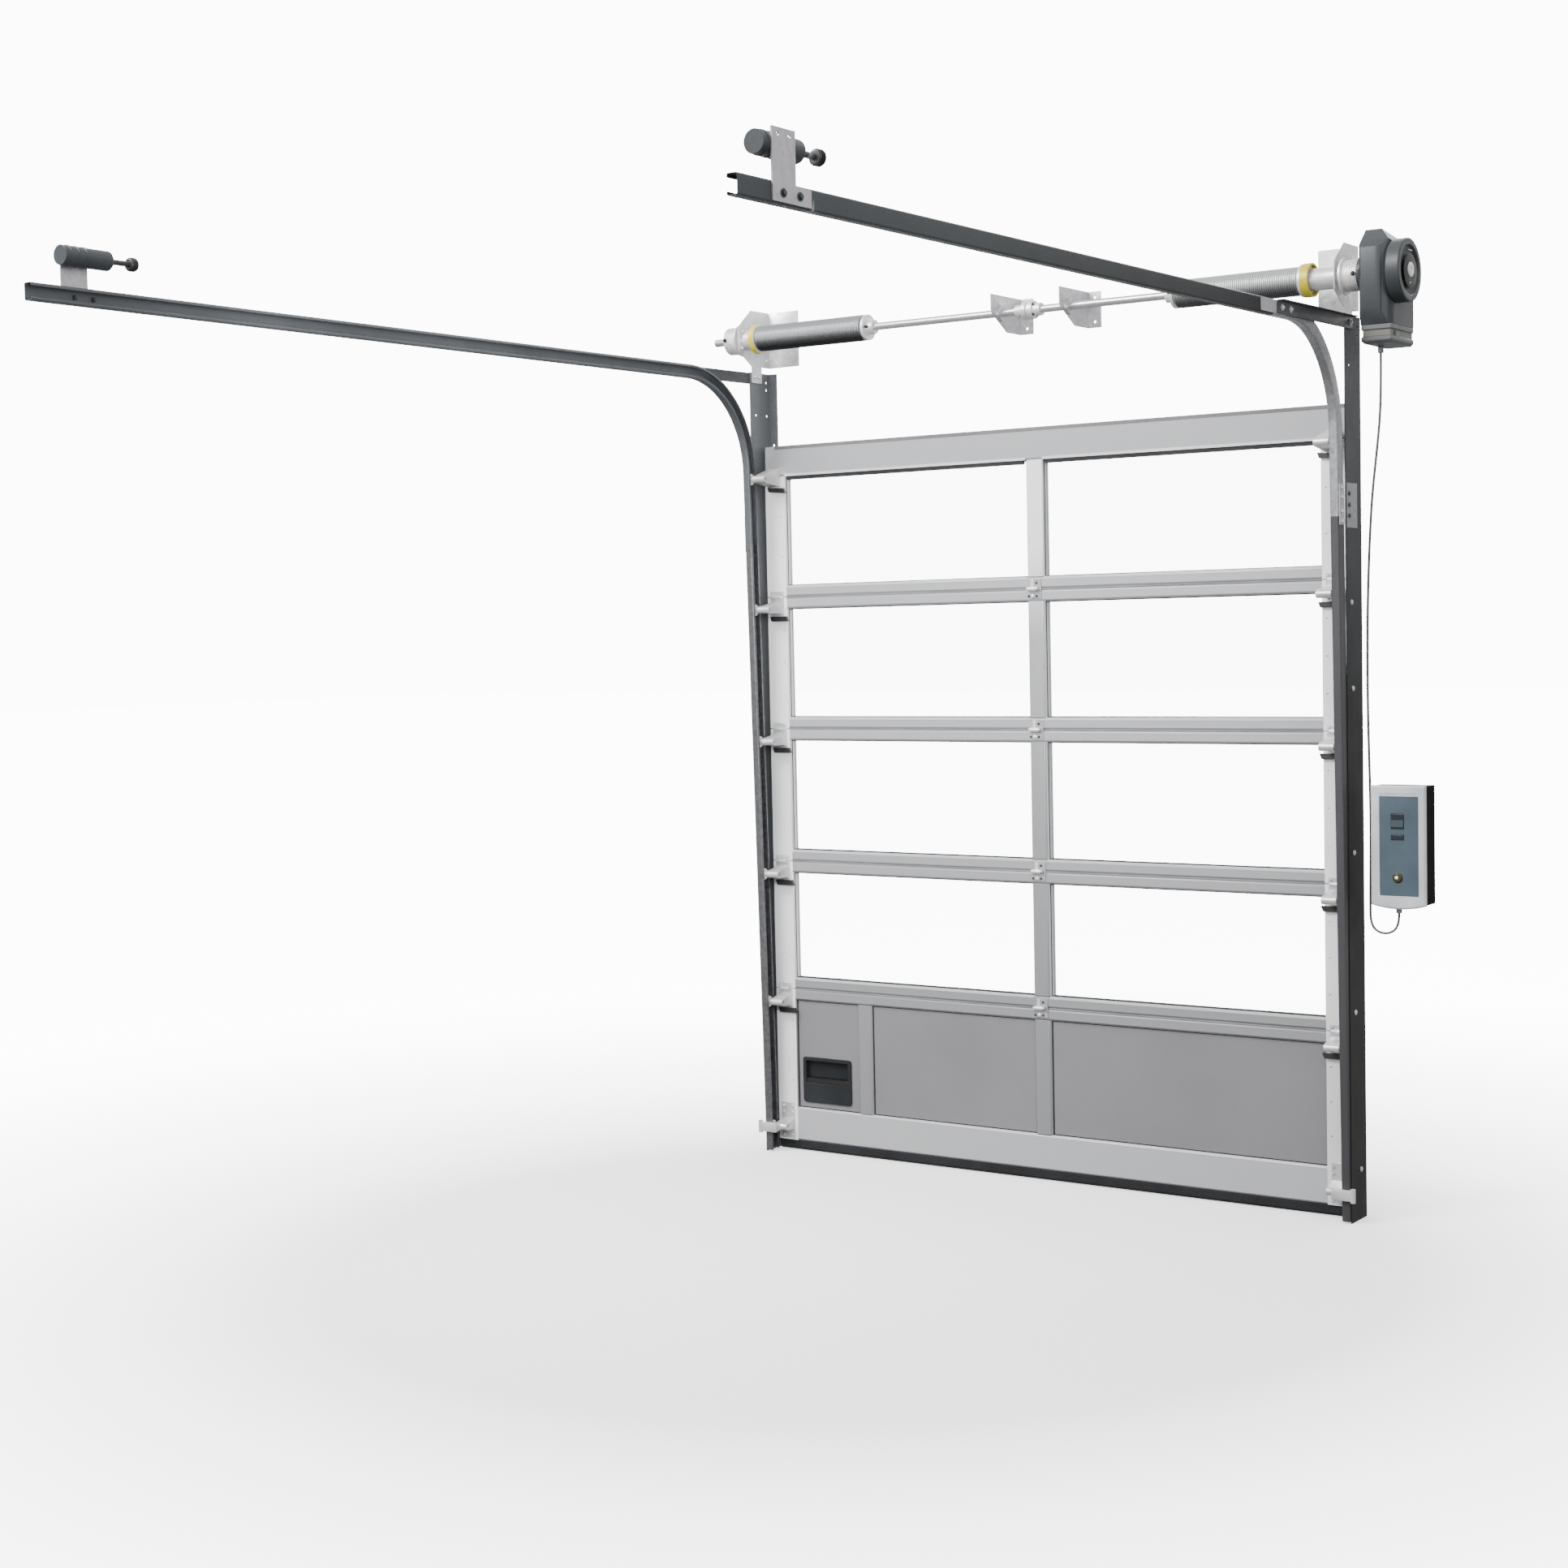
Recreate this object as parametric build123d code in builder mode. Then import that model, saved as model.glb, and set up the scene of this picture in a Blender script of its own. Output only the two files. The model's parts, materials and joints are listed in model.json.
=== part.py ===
"""Sectional aluminium garage door, closed, seen from inside the garage.

Millimetres. X runs along the wall, -Y points into the garage, +Z is up, and Z = 0 is the floor.
The origin is on the wall face of the left wall angle, in the middle of its flange, at the floor.
"""

from build123d import *
from math import atan, cos, pi, radians, sin, tan
import os

os.makedirs("parts", exist_ok=True)

# Leaf
leaf_wide = 2212.0
leaf_top = 2550.0
leaf_front = -65.0
leaf_thick = 40.0
joint_heights = (593.0, 1058.0, 1537.0, 2010.0)
leaf_bottom = 38.0
joint_gap = 3.0
rail_high = 40.0
top_rail_high = 109.0
bottom_rail_high = 122.0
stile_wide = 83.0
mullion_wide = 64.0
sub_mullion_wide = 60.0
sub_mullion_from_end = 381.0
rail_chamfer = 6.0
pane_thick = 16.0
pane_bite = 12.0
pane_play = 0.3

# Seal under the leaf
seal_lift = 2.0
seal_thick = 30.0
seal_wall = 3.0
seal_round = 12.0

# Tracks
track_wide = 46.0
track_deep = 28.0
track_wall = 2.0
track_lip = 9.0
track_round = 5.0
track_reach = 18.0
track_foot = 6.0
track_floor_y = -105.0
track_lean = 0.021
bend_radius = 343.0
bend_foot = 245.0
bend_tail = 192.0
high_track_below = 27.0
high_track_drop = 0.0027
track_rear_y = -3236.0

# Wall angles
angle_thick = 3.0
angle_flange = 35.0
angle_leg = 122.0
angle_high = 2815.0
wall_hole_r = 4.5
wall_hole_low = 160.0
wall_hole_pitch = 800.0
leg_hole_r = 4.5
leg_holes = ((-22.0, 151.0), (-88.0, 151.0), (-22.0, 58.0), (-22.0, 31.0))
cutter_long = 30.0

# Rollers and their holders
wheel_play = 0.8
wheel_thick = 14.0
stem_r = 5.5
stem_play = 0.1
stem_long = 60.0
holder_below = 45.0
holder_wide = 50.0
holder_round = 13.0
holder_foot = 26.0
top_holder_above = 42.0
top_roller_below = 120.0
bottom_roller_above = 54.0
plate_thick = 3.0
hinge_plate_wide = 58.0
hinge_plate_high = 88.0
hinge_drop = 24.0
hinge_knuckle_long = 40.0
knuckle_r = 6.0
knuckle_sunk = 1.0

# Middle hinges
mid_hinge_wide = 46.0
mid_hinge_high = 64.0
mid_knuckle_long = 32.0

# Bottom corner brackets, each with an arm round the front of its track and a sleeve on the arm's end
foot_plate_wide = 56.0
foot_plate_above = 6.0
foot_plate_high = 130.0
arm_high = 34.0
arm_thick = 10.0
arm_clear = 4.0
arm_past_track = 14.0
arm_neck = 22.0
sleeve_r = 8.0
sleeve_high = 44.0

# Straight bars from the wall angles to the high tracks
bar_high = 40.0
bar_flange = 22.0
bar_thick = 3.0
bar_front_y = -62.0
bar_from_join = 20.0
bar_front_rise = 6.0
bar_rear_rise = 2.0

# Splice plates
splice_thick = 3.0
splice_long = 124.0
splice_high = 36.0
rear_splice_long = 176.0

# Rear hangers and buffers
hanger_from_end = 158.0
hanger_long = 84.0
hanger_rise = 132.6
hanger_thick = 4.0
hanger_foot_long = 140.0
hanger_foot_high = 38.0
hanger_bolt_pitch = 60.0
hanger_bolt_margin = 14.0
hanger_hole_r = 4.5
hanger_hole_pitch = 42.0
hanger_hole_margin = 14.0
buffer_drop = 32.0
buffer_r = 26.0
buffer_nose_r = 14.3
buffer_behind = 64.0
buffer_long = 162.0
buffer_taper = 12.0
rod_r = 7.0
rod_play = 0.2
rod_show = 56.0
rod_inside = 62.0
rod_end_play = 2.0
buffer_stroke = 40.0
knob_r = 17.0
knob_long = 25.0
knob_round = 5.0

# Torsion shaft and what turns with it
shaft_y = -140.0
shaft_above = 111.0
shaft_r = 12.7
shaft_past_drum = 66.0
shaft_sunk = 8.0
bore_play = 0.3
seat_play = 0.02
running_gap = 5.0
coupling_r = 30.0
coupling_half = 18.0
coupling_gap = 6.0
coupling_gap_r = 24.0
coupling_hub_r = 21.0
coupling_hub_long = 26.0
coupling_x = 36.0
drum_r = 48.0
drum_flange_r = 56.0
drum_flange = 7.0
drum_long = 55.0
groove_r = 2.5
groove_pitch = 8.0
cone_snout_r = 32.0
cone_snout_long = 34.0
cone_flange_r = 44.0
cone_flange = 10.0
cone_tail_r = 24.0
cone_tail = 26.0

# Torsion springs and their fixed ends
spring_r = 45.0
spring_wire = 7.0
left_spring_long = 445.0
left_spring_in = 66.0
right_spring_long = 420.0
right_spring_in = 124.0
anchor_ring_r = 50.0
anchor_ring = 22.0
anchor_hub_r = 34.0
anchor_plug = 30.0

# End bearing plates, on the wall above the angles
end_plate_wide = 132.0
end_plate_below = 90.0
end_plate_above = 108.0
end_web_reach = 190.0
end_web_nose = 43.0
end_web_tail = 58.0
end_web_tail_front = 112.0
end_web_tail_back = 52.0
end_plate_thick = 3.0
bearing_r = 27.0
bearing_long = 6.0

# Middle bearing plates
mid_plates = (-78.0, 179.0)
mid_plate_below = 60.0
mid_plate_above = 59.0
mid_plate_reach = 200.0
mid_plate_foot = 96.0
mid_plate_flange = 50.0
mid_plate_hole_pitch = 80.0
mid_bearing_r = 27.0
mid_bearing_long = 14.0

# Drive unit on the shaft's right end
motor_wide = 95.0
motor_below = 158.0
motor_above = 132.0
motor_deep = 203.0
motor_shoulder = 20.0
motor_shoulder_low = 60.0
motor_shoulder_high = 38.0
motor_ridge = 61.0
motor_back_below = 58.0
motor_neck = 18.0
motor_neck_high = 48.0
motor_corner = 44.0
motor_crown = 44.0
motor_edge = 8.0
boss_r = 95.0
boss_long = 44.0
boss_rim = 22.0
boss_recess = 9.0
boss_eye_r = 30.0
hub_r = 57.0
hub_long = 10.0
cap_high = 56.0
cap_rim = 15.0
cap_strip = 21.0
cap_strip_in = 4.0

# Control box on the wall
box_from_angle = 57.0
box_wide = 176.0
box_low = 990.0
box_high = 382.0
box_deep = 76.0
box_sag = 12.0
box_inset = 2.0
cover_deep = 14.0
cover_edge = 5.0
panel_wide = 118.0
panel_high = 310.0
panel_sunk = 2.0
key_wide = 40.0
upper_key_high = 46.0
lower_key_high = 16.0
upper_key_up = 272.0
lower_key_up = 223.0
key_proud = 5.0
key_play = 0.6
key_travel = 3.0
key_round = 1.5
lamp_up = 98.0
lamp_r = 14.0
lamp_proud = 8.0
lamp_round = 3.0

# Pull handle in the bottom section
handle_from_end = 210.0
handle_up = 226.0
handle_wide = 208.0
handle_high = 164.0
handle_flange = 10.0
handle_proud = 7.0
handle_cup = 26.0
handle_skin = 3.0
handle_recess = 23.0
handle_slot_high = 18.0
handle_slot_below = 12.0
handle_play = 0.5

# Motor cable
cable_r = 4.0
gland_r = 9.0
gland_long = 18.0
bend_share = 0.45

half_leaf = leaf_wide / 2
pane_y = leaf_front + leaf_thick / 2
track_out = half_leaf + track_reach
angle_out = track_out + angle_thick
mid_x = angle_out - angle_flange / 2
wheel_r = track_wide / 2 - track_wall - wheel_play
drum_from = track_out + bearing_long + running_gap
motor_left = drum_from + drum_long + running_gap + hub_long
box_under = box_low + box_inset
high_track_z = angle_high - high_track_below
track_join = high_track_z - bend_radius - bend_foot
bend_end_y = track_floor_y - bend_radius - bend_tail
bar_rear_y = bend_end_y + bar_from_join
sub_mullion_x = half_leaf - sub_mullion_from_end
handle_x = half_leaf - handle_from_end
box_left = angle_out + box_from_angle
shaft_left = drum_from + drum_long + shaft_past_drum
shaft_right = motor_left + motor_wide + boss_long - shaft_sunk
shaft_z = angle_high + shaft_above
end_plate_low = shaft_z - end_plate_below
end_plate_top = shaft_z + end_plate_above
mid_plate_low = shaft_z - mid_plate_below
mid_plate_top = shaft_z + mid_plate_above
motor_low = shaft_z - motor_below
motor_top = shaft_z + motor_above
hanger_y = track_rear_y + hanger_from_end
buffer_rear_y = hanger_y - buffer_behind
top_roller_z = leaf_top - top_roller_below
bottom_roller_z = leaf_bottom + bottom_roller_above
handle_z = leaf_bottom + handle_up
sides = ((-1, "left"), (1, "right"))


def across(side, offset):
    """The X of a place that lies offset from the middle of the door, on one side."""
    return mid_x + side * offset


def track_y(height):
    """The Y of the upright track's centre line at a height."""
    return track_floor_y - track_lean * height


def high_z(y):
    """The height of the high track's centre line at a Y."""
    return high_track_z + high_track_drop * (y - bend_end_y)


hanger_top = high_z(hanger_y) + hanger_rise
buffer_z = hanger_top - buffer_drop


def save(piece, name):
    """Label a finished piece and write it."""
    piece.part.label = name
    export_step(piece.part, f"parts/{name}.step")


def block(low, high):
    """Add a block to the part in progress, from its lowest to its highest corner."""
    middle = [(a + b) / 2 for a, b in zip(low, high)]
    size = [b - a for a, b in zip(low, high)]
    with Locations(tuple(middle)):
        Box(*size)


# Sections of the leaf: two rails and their stiles, each an extruded bar with a groove for the pane
section_lows = (leaf_bottom,) + tuple(h + joint_gap / 2 for h in joint_heights)
section_highs = tuple(h - joint_gap / 2 for h in joint_heights) + (leaf_top,)
low_rails = (bottom_rail_high,) + (rail_high,) * 4
high_rails = (rail_high,) * 4 + (top_rail_high,)
groove_wide = pane_thick + 2 * pane_play


def bar_outline(wide, grooves):
    """Draw a bar's section about its middle: bevels on the room side, pane grooves on the sides named."""
    Rectangle(wide, leaf_thick)
    chamfer(vertices().group_by(Axis.Y)[0], rail_chamfer)
    for edge in grooves:
        with Locations((edge * (wide - pane_bite) / 2, 0)):
            Rectangle(pane_bite, groove_wide, mode=Mode.SUBTRACT)


for number in range(5):
    low, high = section_lows[number], section_highs[number]
    rail_spans = ((low, low_rails[number], 1), (high - high_rails[number], high_rails[number], -1))
    with BuildPart() as rails:
        for start, tall, groove in rail_spans:
            rail_plane = Plane(
                origin=(across(1, half_leaf), pane_y, start + tall / 2), x_dir=(0, 0, 1), z_dir=(-1, 0, 0)
            )
            with BuildSketch(rail_plane):
                bar_outline(tall, (groove,))
            extrude(amount=leaf_wide)
    save(rails, f"section_{number + 1}_rails")

    uprights = [(-(half_leaf - stile_wide / 2), stile_wide, (1,)), (0, mullion_wide, (-1, 1))]
    uprights.append((half_leaf - stile_wide / 2, stile_wide, (-1,)))
    if number == 0:
        uprights.append((-sub_mullion_x, sub_mullion_wide, (-1, 1)))
    stile_low = low + low_rails[number]
    stile_high = high - high_rails[number]
    with BuildPart() as stiles:
        for place, wide, grooves in uprights:
            with BuildSketch(Plane(origin=(mid_x + place, pane_y, stile_low))):
                bar_outline(wide, grooves)
            extrude(amount=stile_high - stile_low)
    save(stiles, f"section_{number + 1}_stiles")

# Clear panes of the four upper sections, two to a section
inner_edge = mullion_wide / 2
outer_edge = half_leaf - stile_wide
bite = pane_bite - pane_play
with BuildPart() as window_panes:
    for number in range(1, 5):
        pane_low = section_lows[number] + low_rails[number] - bite
        pane_high = section_highs[number] - high_rails[number] + bite
        for side in (-1, 1):
            near, far = sorted((across(side, inner_edge - bite), across(side, outer_edge + bite)))
            block((near, pane_y - pane_thick / 2, pane_low), (far, pane_y + pane_thick / 2, pane_high))
save(window_panes, "window_panes")

# Grey infill panels of the bottom section, the left one cut out for the pull handle
infill_low = section_lows[0] + low_rails[0] - bite
infill_high = section_highs[0] - high_rails[0] + bite
infill_spans = (
    (-outer_edge - bite, -sub_mullion_x - sub_mullion_wide / 2 + bite),
    (-sub_mullion_x + sub_mullion_wide / 2 - bite, -inner_edge + bite),
    (inner_edge - bite, outer_edge + bite),
)
cup_wide = handle_wide - 2 * handle_flange
cup_high = handle_high - 2 * handle_flange
with BuildPart() as infill_panels:
    for start, end in infill_spans:
        block(
            (mid_x + start, pane_y - pane_thick / 2, infill_low),
            (mid_x + end, pane_y + pane_thick / 2, infill_high),
        )
    with Locations((mid_x - handle_x, pane_y, handle_z)):
        Box(cup_wide + 2 * handle_play, pane_thick * 2, cup_high + 2 * handle_play, mode=Mode.SUBTRACT)
save(infill_panels, "infill_panels")

# Pull handle: a flanged black cup, open in its upper half, with a deeper slot for the fingers along its foot
panel_face = pane_y - pane_thick / 2
with BuildPart() as pull_handle:
    with BuildSketch(Plane.XZ.offset(-panel_face)):
        with Locations((mid_x - handle_x, handle_z)):
            RectangleRounded(handle_wide, handle_high, handle_flange)
    extrude(amount=handle_proud)
    with BuildSketch(Plane.XZ.offset(-panel_face)):
        with Locations((mid_x - handle_x, handle_z)):
            Rectangle(cup_wide, cup_high)
    extrude(amount=-handle_cup)
    recess_wide = cup_wide - 2 * handle_skin
    slot_low = handle_z - handle_slot_below
    slot_top = slot_low + handle_slot_high
    recesses = (
        (slot_low, slot_top, handle_proud + handle_cup - handle_skin),
        (slot_top, handle_z + cup_high / 2 - handle_skin, handle_recess),
    )
    for bottom, top, deep in recesses:
        with Locations((mid_x - handle_x, panel_face - handle_proud + deep / 2, (bottom + top) / 2)):
            Box(recess_wide, deep, top - bottom, mode=Mode.SUBTRACT)
save(pull_handle, "pull_handle")

# Rubber seal under the leaf, an open loop held along the bottom rail
with BuildPart() as bottom_seal:
    seal_plane = Plane(origin=(across(-1, half_leaf), pane_y, leaf_bottom), x_dir=(0, 1, 0), z_dir=(1, 0, 0))
    seal_drop = leaf_bottom - seal_lift
    with BuildSketch(seal_plane):
        with Locations((0, -seal_drop / 2)):
            Rectangle(seal_thick, seal_drop)
        fillet(vertices().group_by(Axis.Y)[0], seal_round)
        with Locations((0, -seal_drop / 2)):
            RectangleRounded(
                seal_thick - 2 * seal_wall,
                seal_drop - 2 * seal_wall,
                seal_round - seal_wall,
                mode=Mode.SUBTRACT,
            )
    extrude(amount=leaf_wide)
save(bottom_seal, "bottom_seal")

# Hinges on the mullion: two leaves and a knuckle at each joint
with BuildPart() as centre_hinges:
    for height in joint_heights:
        with Locations((mid_x, leaf_front - plate_thick / 2, height)):
            Box(mid_hinge_wide, plate_thick, mid_hinge_high)
        with Locations((mid_x, leaf_front - plate_thick - knuckle_r + knuckle_sunk, height)):
            Cylinder(knuckle_r, mid_knuckle_long, rotation=(0, 90, 0))
save(centre_hinges, "centre_hinges")


def wedge(side, roller_z, foot_low, foot_high, face):
    """Add a roller holder: a wedge from a plate's face out to the roller stem, bored for it."""
    stem_y = track_y(roller_z)
    start = across(side, half_leaf - stile_wide / 2 - holder_wide / 2)
    holder_plane = Plane(origin=(start, 0, 0), x_dir=(0, 1, 0), z_dir=(1, 0, 0))
    offset = 0 if side > 0 else -holder_wide
    with BuildSketch(holder_plane.offset(offset)) as outline:
        with BuildLine():
            Polyline(
                (face, foot_low),
                (stem_y, roller_z - holder_round),
                (stem_y - holder_round, roller_z),
                (stem_y, roller_z + holder_round),
                (face, foot_high),
                close=True,
            )
        make_face()
        with Locations((stem_y, roller_z)):
            Circle(holder_round)
            Circle(stem_r + stem_play, mode=Mode.SUBTRACT)
    extrude(outline.sketch, amount=holder_wide)


# Side hinges on the stiles, roller holders on them, and rollers in the tracks
plate_x = half_leaf - stile_wide / 2
for side, where in sides:
    with BuildPart() as side_hinges:
        for height in joint_heights:
            with Locations((across(side, plate_x), leaf_front - plate_thick / 2, height - hinge_drop)):
                Box(hinge_plate_wide, plate_thick, hinge_plate_high)
            knuckle_y = leaf_front - plate_thick - knuckle_r + knuckle_sunk
            with Locations((across(side, plate_x), knuckle_y, height)):
                Cylinder(knuckle_r, hinge_knuckle_long, rotation=(0, 90, 0))
    save(side_hinges, f"side_hinges_{where}")

    holder_face = leaf_front - plate_thick
    with BuildPart() as roller_holders:
        for height in joint_heights:
            roller_z = height - holder_below
            wedge(side, roller_z, roller_z - holder_foot / 2, roller_z + holder_foot, holder_face)
        wedge(side, top_roller_z, top_roller_z - holder_foot, top_roller_z + top_holder_above, leaf_front)
    save(roller_holders, f"roller_holders_{where}")

    roller_heights = [bottom_roller_z] + [h - holder_below for h in joint_heights] + [top_roller_z]
    wheel_x = track_out - track_wall - (track_deep - 2 * track_wall) / 2
    with BuildPart() as rollers:
        for height in roller_heights:
            with Locations((across(side, wheel_x), track_y(height), height)):
                Cylinder(wheel_r, wheel_thick, rotation=(0, 90, 0))
            with Locations((across(side, wheel_x - stem_long / 2), track_y(height), height)):
                Cylinder(stem_r, stem_long, rotation=(0, 90, 0))
    save(rollers, f"rollers_{where}")

# Bottom corner brackets: a plate on each stile, a bored block for the lowest roller, and an arm in front of the
# track with a sleeve on its end
foot_plate_low = leaf_bottom + foot_plate_above
arm_rear_y = track_y(bottom_roller_z) - track_wide / 2 - arm_clear
arm_front_y = arm_rear_y - arm_thick
block_end = plate_x + holder_wide / 2
sleeve_x = track_out + arm_past_track
with BuildPart() as bottom_brackets:
    for side, where in sides:
        with Locations(
            (across(side, plate_x), leaf_front - plate_thick / 2, foot_plate_low + foot_plate_high / 2)
        ):
            Box(foot_plate_wide, plate_thick, foot_plate_high)
        wedge(
            side,
            bottom_roller_z,
            bottom_roller_z - holder_round,
            bottom_roller_z + holder_foot,
            leaf_front - plate_thick,
        )
        neck_rear_y = track_y(bottom_roller_z) - holder_round / 2
        left, right = sorted((across(side, block_end - arm_neck), across(side, block_end)))
        block(
            (left, arm_front_y, bottom_roller_z - holder_round),
            (right, neck_rear_y, bottom_roller_z + holder_round),
        )
        left, right = sorted((across(side, block_end - arm_neck), across(side, sleeve_x)))
        block(
            (left, arm_front_y, bottom_roller_z - arm_high / 2),
            (right, arm_rear_y, bottom_roller_z + arm_high / 2),
        )
        with Locations((across(side, sleeve_x), (arm_front_y + arm_rear_y) / 2, bottom_roller_z)):
            Cylinder(sleeve_r, sleeve_high)
save(bottom_brackets, "bottom_brackets")


def track_section(side):
    """Draw the track's open channel about the outer face of its web, open towards the leaf."""
    with Locations((-side * track_deep / 2, 0)):
        Rectangle(track_deep, track_wide)
    fillet(vertices(), track_round)
    with Locations((-side * track_deep / 2, 0)):
        RectangleRounded(
            track_deep - 2 * track_wall,
            track_wide - 2 * track_wall,
            track_round - track_wall,
            mode=Mode.SUBTRACT,
        )
    with Locations((-side * (track_deep - track_wall / 2), 0)):
        Rectangle(track_wall * 2, track_wide - 2 * track_lip, mode=Mode.SUBTRACT)


# Wall angles, upright tracks, bends and high tracks
lean_angle = atan(track_lean)
lean_way = (0, -sin(lean_angle), cos(lean_angle))
high_angle = atan(high_track_drop)
high_way = (0, -cos(high_angle), -sin(high_angle))
wall_hole_rows = int((angle_high - wall_hole_low) / wall_hole_pitch) + 1
for side, where in sides:
    web_x = across(side, track_out)
    flange_x = across(side, angle_out - angle_flange / 2)
    leg_x = across(side, track_out + angle_thick / 2)
    with BuildPart() as wall_angle:
        with Locations((flange_x, -angle_thick / 2, angle_high / 2)):
            Box(angle_flange, angle_thick, angle_high)
        with Locations((leg_x, -angle_leg / 2, angle_high / 2)):
            Box(angle_thick, angle_leg, angle_high)
        for row in range(wall_hole_rows):
            with Locations((flange_x, -angle_thick / 2, wall_hole_low + row * wall_hole_pitch)):
                Cylinder(wall_hole_r, cutter_long, rotation=(90, 0, 0), mode=Mode.SUBTRACT)
        for y, below in leg_holes:
            with Locations((leg_x, y, angle_high - below)):
                Cylinder(leg_hole_r, cutter_long, rotation=(0, 90, 0), mode=Mode.SUBTRACT)
    save(wall_angle, f"wall_angle_{where}")

    with BuildPart() as vertical_track:
        foot = (web_x, track_y(track_foot), track_foot)
        with BuildSketch(Plane(origin=foot, x_dir=(1, 0, 0), z_dir=lean_way)):
            track_section(side)
        extrude(amount=(track_join - track_foot) / cos(lean_angle))
    save(vertical_track, f"vertical_track_{where}")

    with BuildPart() as curved_track:
        start = Vector(web_x, track_y(track_join), track_join)
        corner_y = track_y(high_z(track_y(high_track_z)))
        corner = Vector(web_x, corner_y, high_z(corner_y))
        end = Vector(web_x, bend_end_y, high_z(bend_end_y))
        with BuildLine():
            FilletPolyline(start, corner, end, radius=bend_radius)
        with BuildSketch(Plane(origin=start, x_dir=(1, 0, 0), z_dir=(corner - start).normalized())):
            track_section(side)
        sweep()
    save(curved_track, f"curved_track_{where}")

    with BuildPart() as horizontal_track:
        front = (web_x, bend_end_y, high_z(bend_end_y))
        with BuildSketch(Plane(origin=front, x_dir=(1, 0, 0), z_dir=high_way)):
            track_section(side)
        extrude(amount=(bend_end_y - track_rear_y) / cos(high_angle))
    save(horizontal_track, f"horizontal_track_{where}")

# Straight bars from the wall angles back to the high tracks, on the outside of both
bar_front_z = high_track_z + bar_front_rise
bar_rear_z = high_track_z + bar_rear_rise
with BuildPart() as front_bars:
    for side, where in sides:
        bar_x = across(side, angle_out)
        bar_plane = Plane(origin=(bar_x, 0, 0), x_dir=(0, 1, 0), z_dir=(1, 0, 0))
        offset = 0 if side > 0 else -bar_thick
        half_bar = bar_high / 2
        with BuildSketch(bar_plane.offset(offset)):
            with BuildLine():
                Polyline(
                    (bar_rear_y, bar_rear_z - half_bar),
                    (bar_front_y, bar_front_z - half_bar),
                    (bar_front_y, bar_front_z + half_bar),
                    (bar_rear_y, bar_rear_z + half_bar),
                    close=True,
                )
            make_face()
        extrude(amount=bar_thick)
        offset = 0 if side > 0 else -bar_flange
        with BuildSketch(bar_plane.offset(offset)):
            with BuildLine():
                Polyline(
                    (bar_rear_y, bar_rear_z + half_bar - bar_thick),
                    (bar_front_y, bar_front_z + half_bar - bar_thick),
                    (bar_front_y, bar_front_z + half_bar),
                    (bar_rear_y, bar_rear_z + half_bar),
                    close=True,
                )
            make_face()
        extrude(amount=bar_flange)
save(front_bars, "front_bars")

# Splice plates on the outer face of the tracks, over the two joints of each
with BuildPart() as track_splices:
    for side, where in sides:
        plate_out = track_out + splice_thick / 2
        low_plane = Plane(
            origin=(across(side, plate_out), track_y(track_join + splice_high), track_join + splice_high),
            x_dir=(1, 0, 0),
            z_dir=lean_way,
        )
        with BuildSketch(low_plane.offset(-splice_long / 2)):
            Rectangle(splice_thick, splice_high)
        extrude(amount=splice_long)
        with Locations((across(side, plate_out), bend_end_y, high_z(bend_end_y))):
            Box(splice_thick, rear_splice_long, splice_high)
save(track_splices, "track_splices")

# Rear hangers: a bent plate standing on each high track, with a foot bolted to its web
with BuildPart() as rear_hangers:
    for side, where in sides:
        hanger_x = across(side, track_out + hanger_thick / 2)
        track_top = high_z(hanger_y) + track_wide / 2
        foot_low = high_z(hanger_y) - hanger_foot_high / 2
        with Locations((hanger_x, hanger_y, (hanger_top + foot_low) / 2)):
            Box(hanger_thick, hanger_long, hanger_top - foot_low)
        foot_y = hanger_y + (hanger_foot_long - hanger_long) / 2
        with Locations((hanger_x, foot_y, foot_low + hanger_foot_high / 2)):
            Box(hanger_thick, hanger_foot_long, hanger_foot_high)
        front_bolt_y = hanger_y + hanger_long / 2 + hanger_bolt_margin
        for y in (front_bolt_y, front_bolt_y - hanger_bolt_pitch):
            with Locations((hanger_x, y, foot_low + hanger_foot_high / 2)):
                Cylinder(hanger_hole_r, cutter_long, rotation=(0, 90, 0), mode=Mode.SUBTRACT)
        for way in (-1, 1):
            hole_y = hanger_y + way * hanger_hole_pitch / 2
            with Locations((hanger_x, hole_y, hanger_top - hanger_hole_margin)):
                Cylinder(hanger_hole_r, cutter_long, rotation=(0, 90, 0), mode=Mode.SUBTRACT)
save(rear_hangers, "rear_hangers")

# Spring buffers on the inner side of the hangers, pointing to the door
buffer_front_y = buffer_rear_y + buffer_long
buffer_x = track_out - buffer_r
bore_deep = rod_inside + buffer_stroke + rod_end_play
with BuildPart() as buffer_housings:
    for side, where in sides:
        barrel_plane = Plane(
            origin=(across(side, buffer_x), buffer_rear_y, buffer_z), x_dir=(1, 0, 0), z_dir=(0, 1, 0)
        )
        with BuildSketch(barrel_plane):
            Circle(buffer_r)
        extrude(amount=buffer_long - buffer_taper)
        with BuildSketch(barrel_plane.offset(buffer_long - buffer_taper)):
            Circle(buffer_r)
        with BuildSketch(barrel_plane.offset(buffer_long)):
            Circle(buffer_nose_r)
        loft()
        with BuildSketch(barrel_plane.offset(buffer_long)):
            Circle(rod_r + rod_play)
        extrude(amount=-bore_deep, mode=Mode.SUBTRACT)
save(buffer_housings, "buffer_housings")

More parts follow.
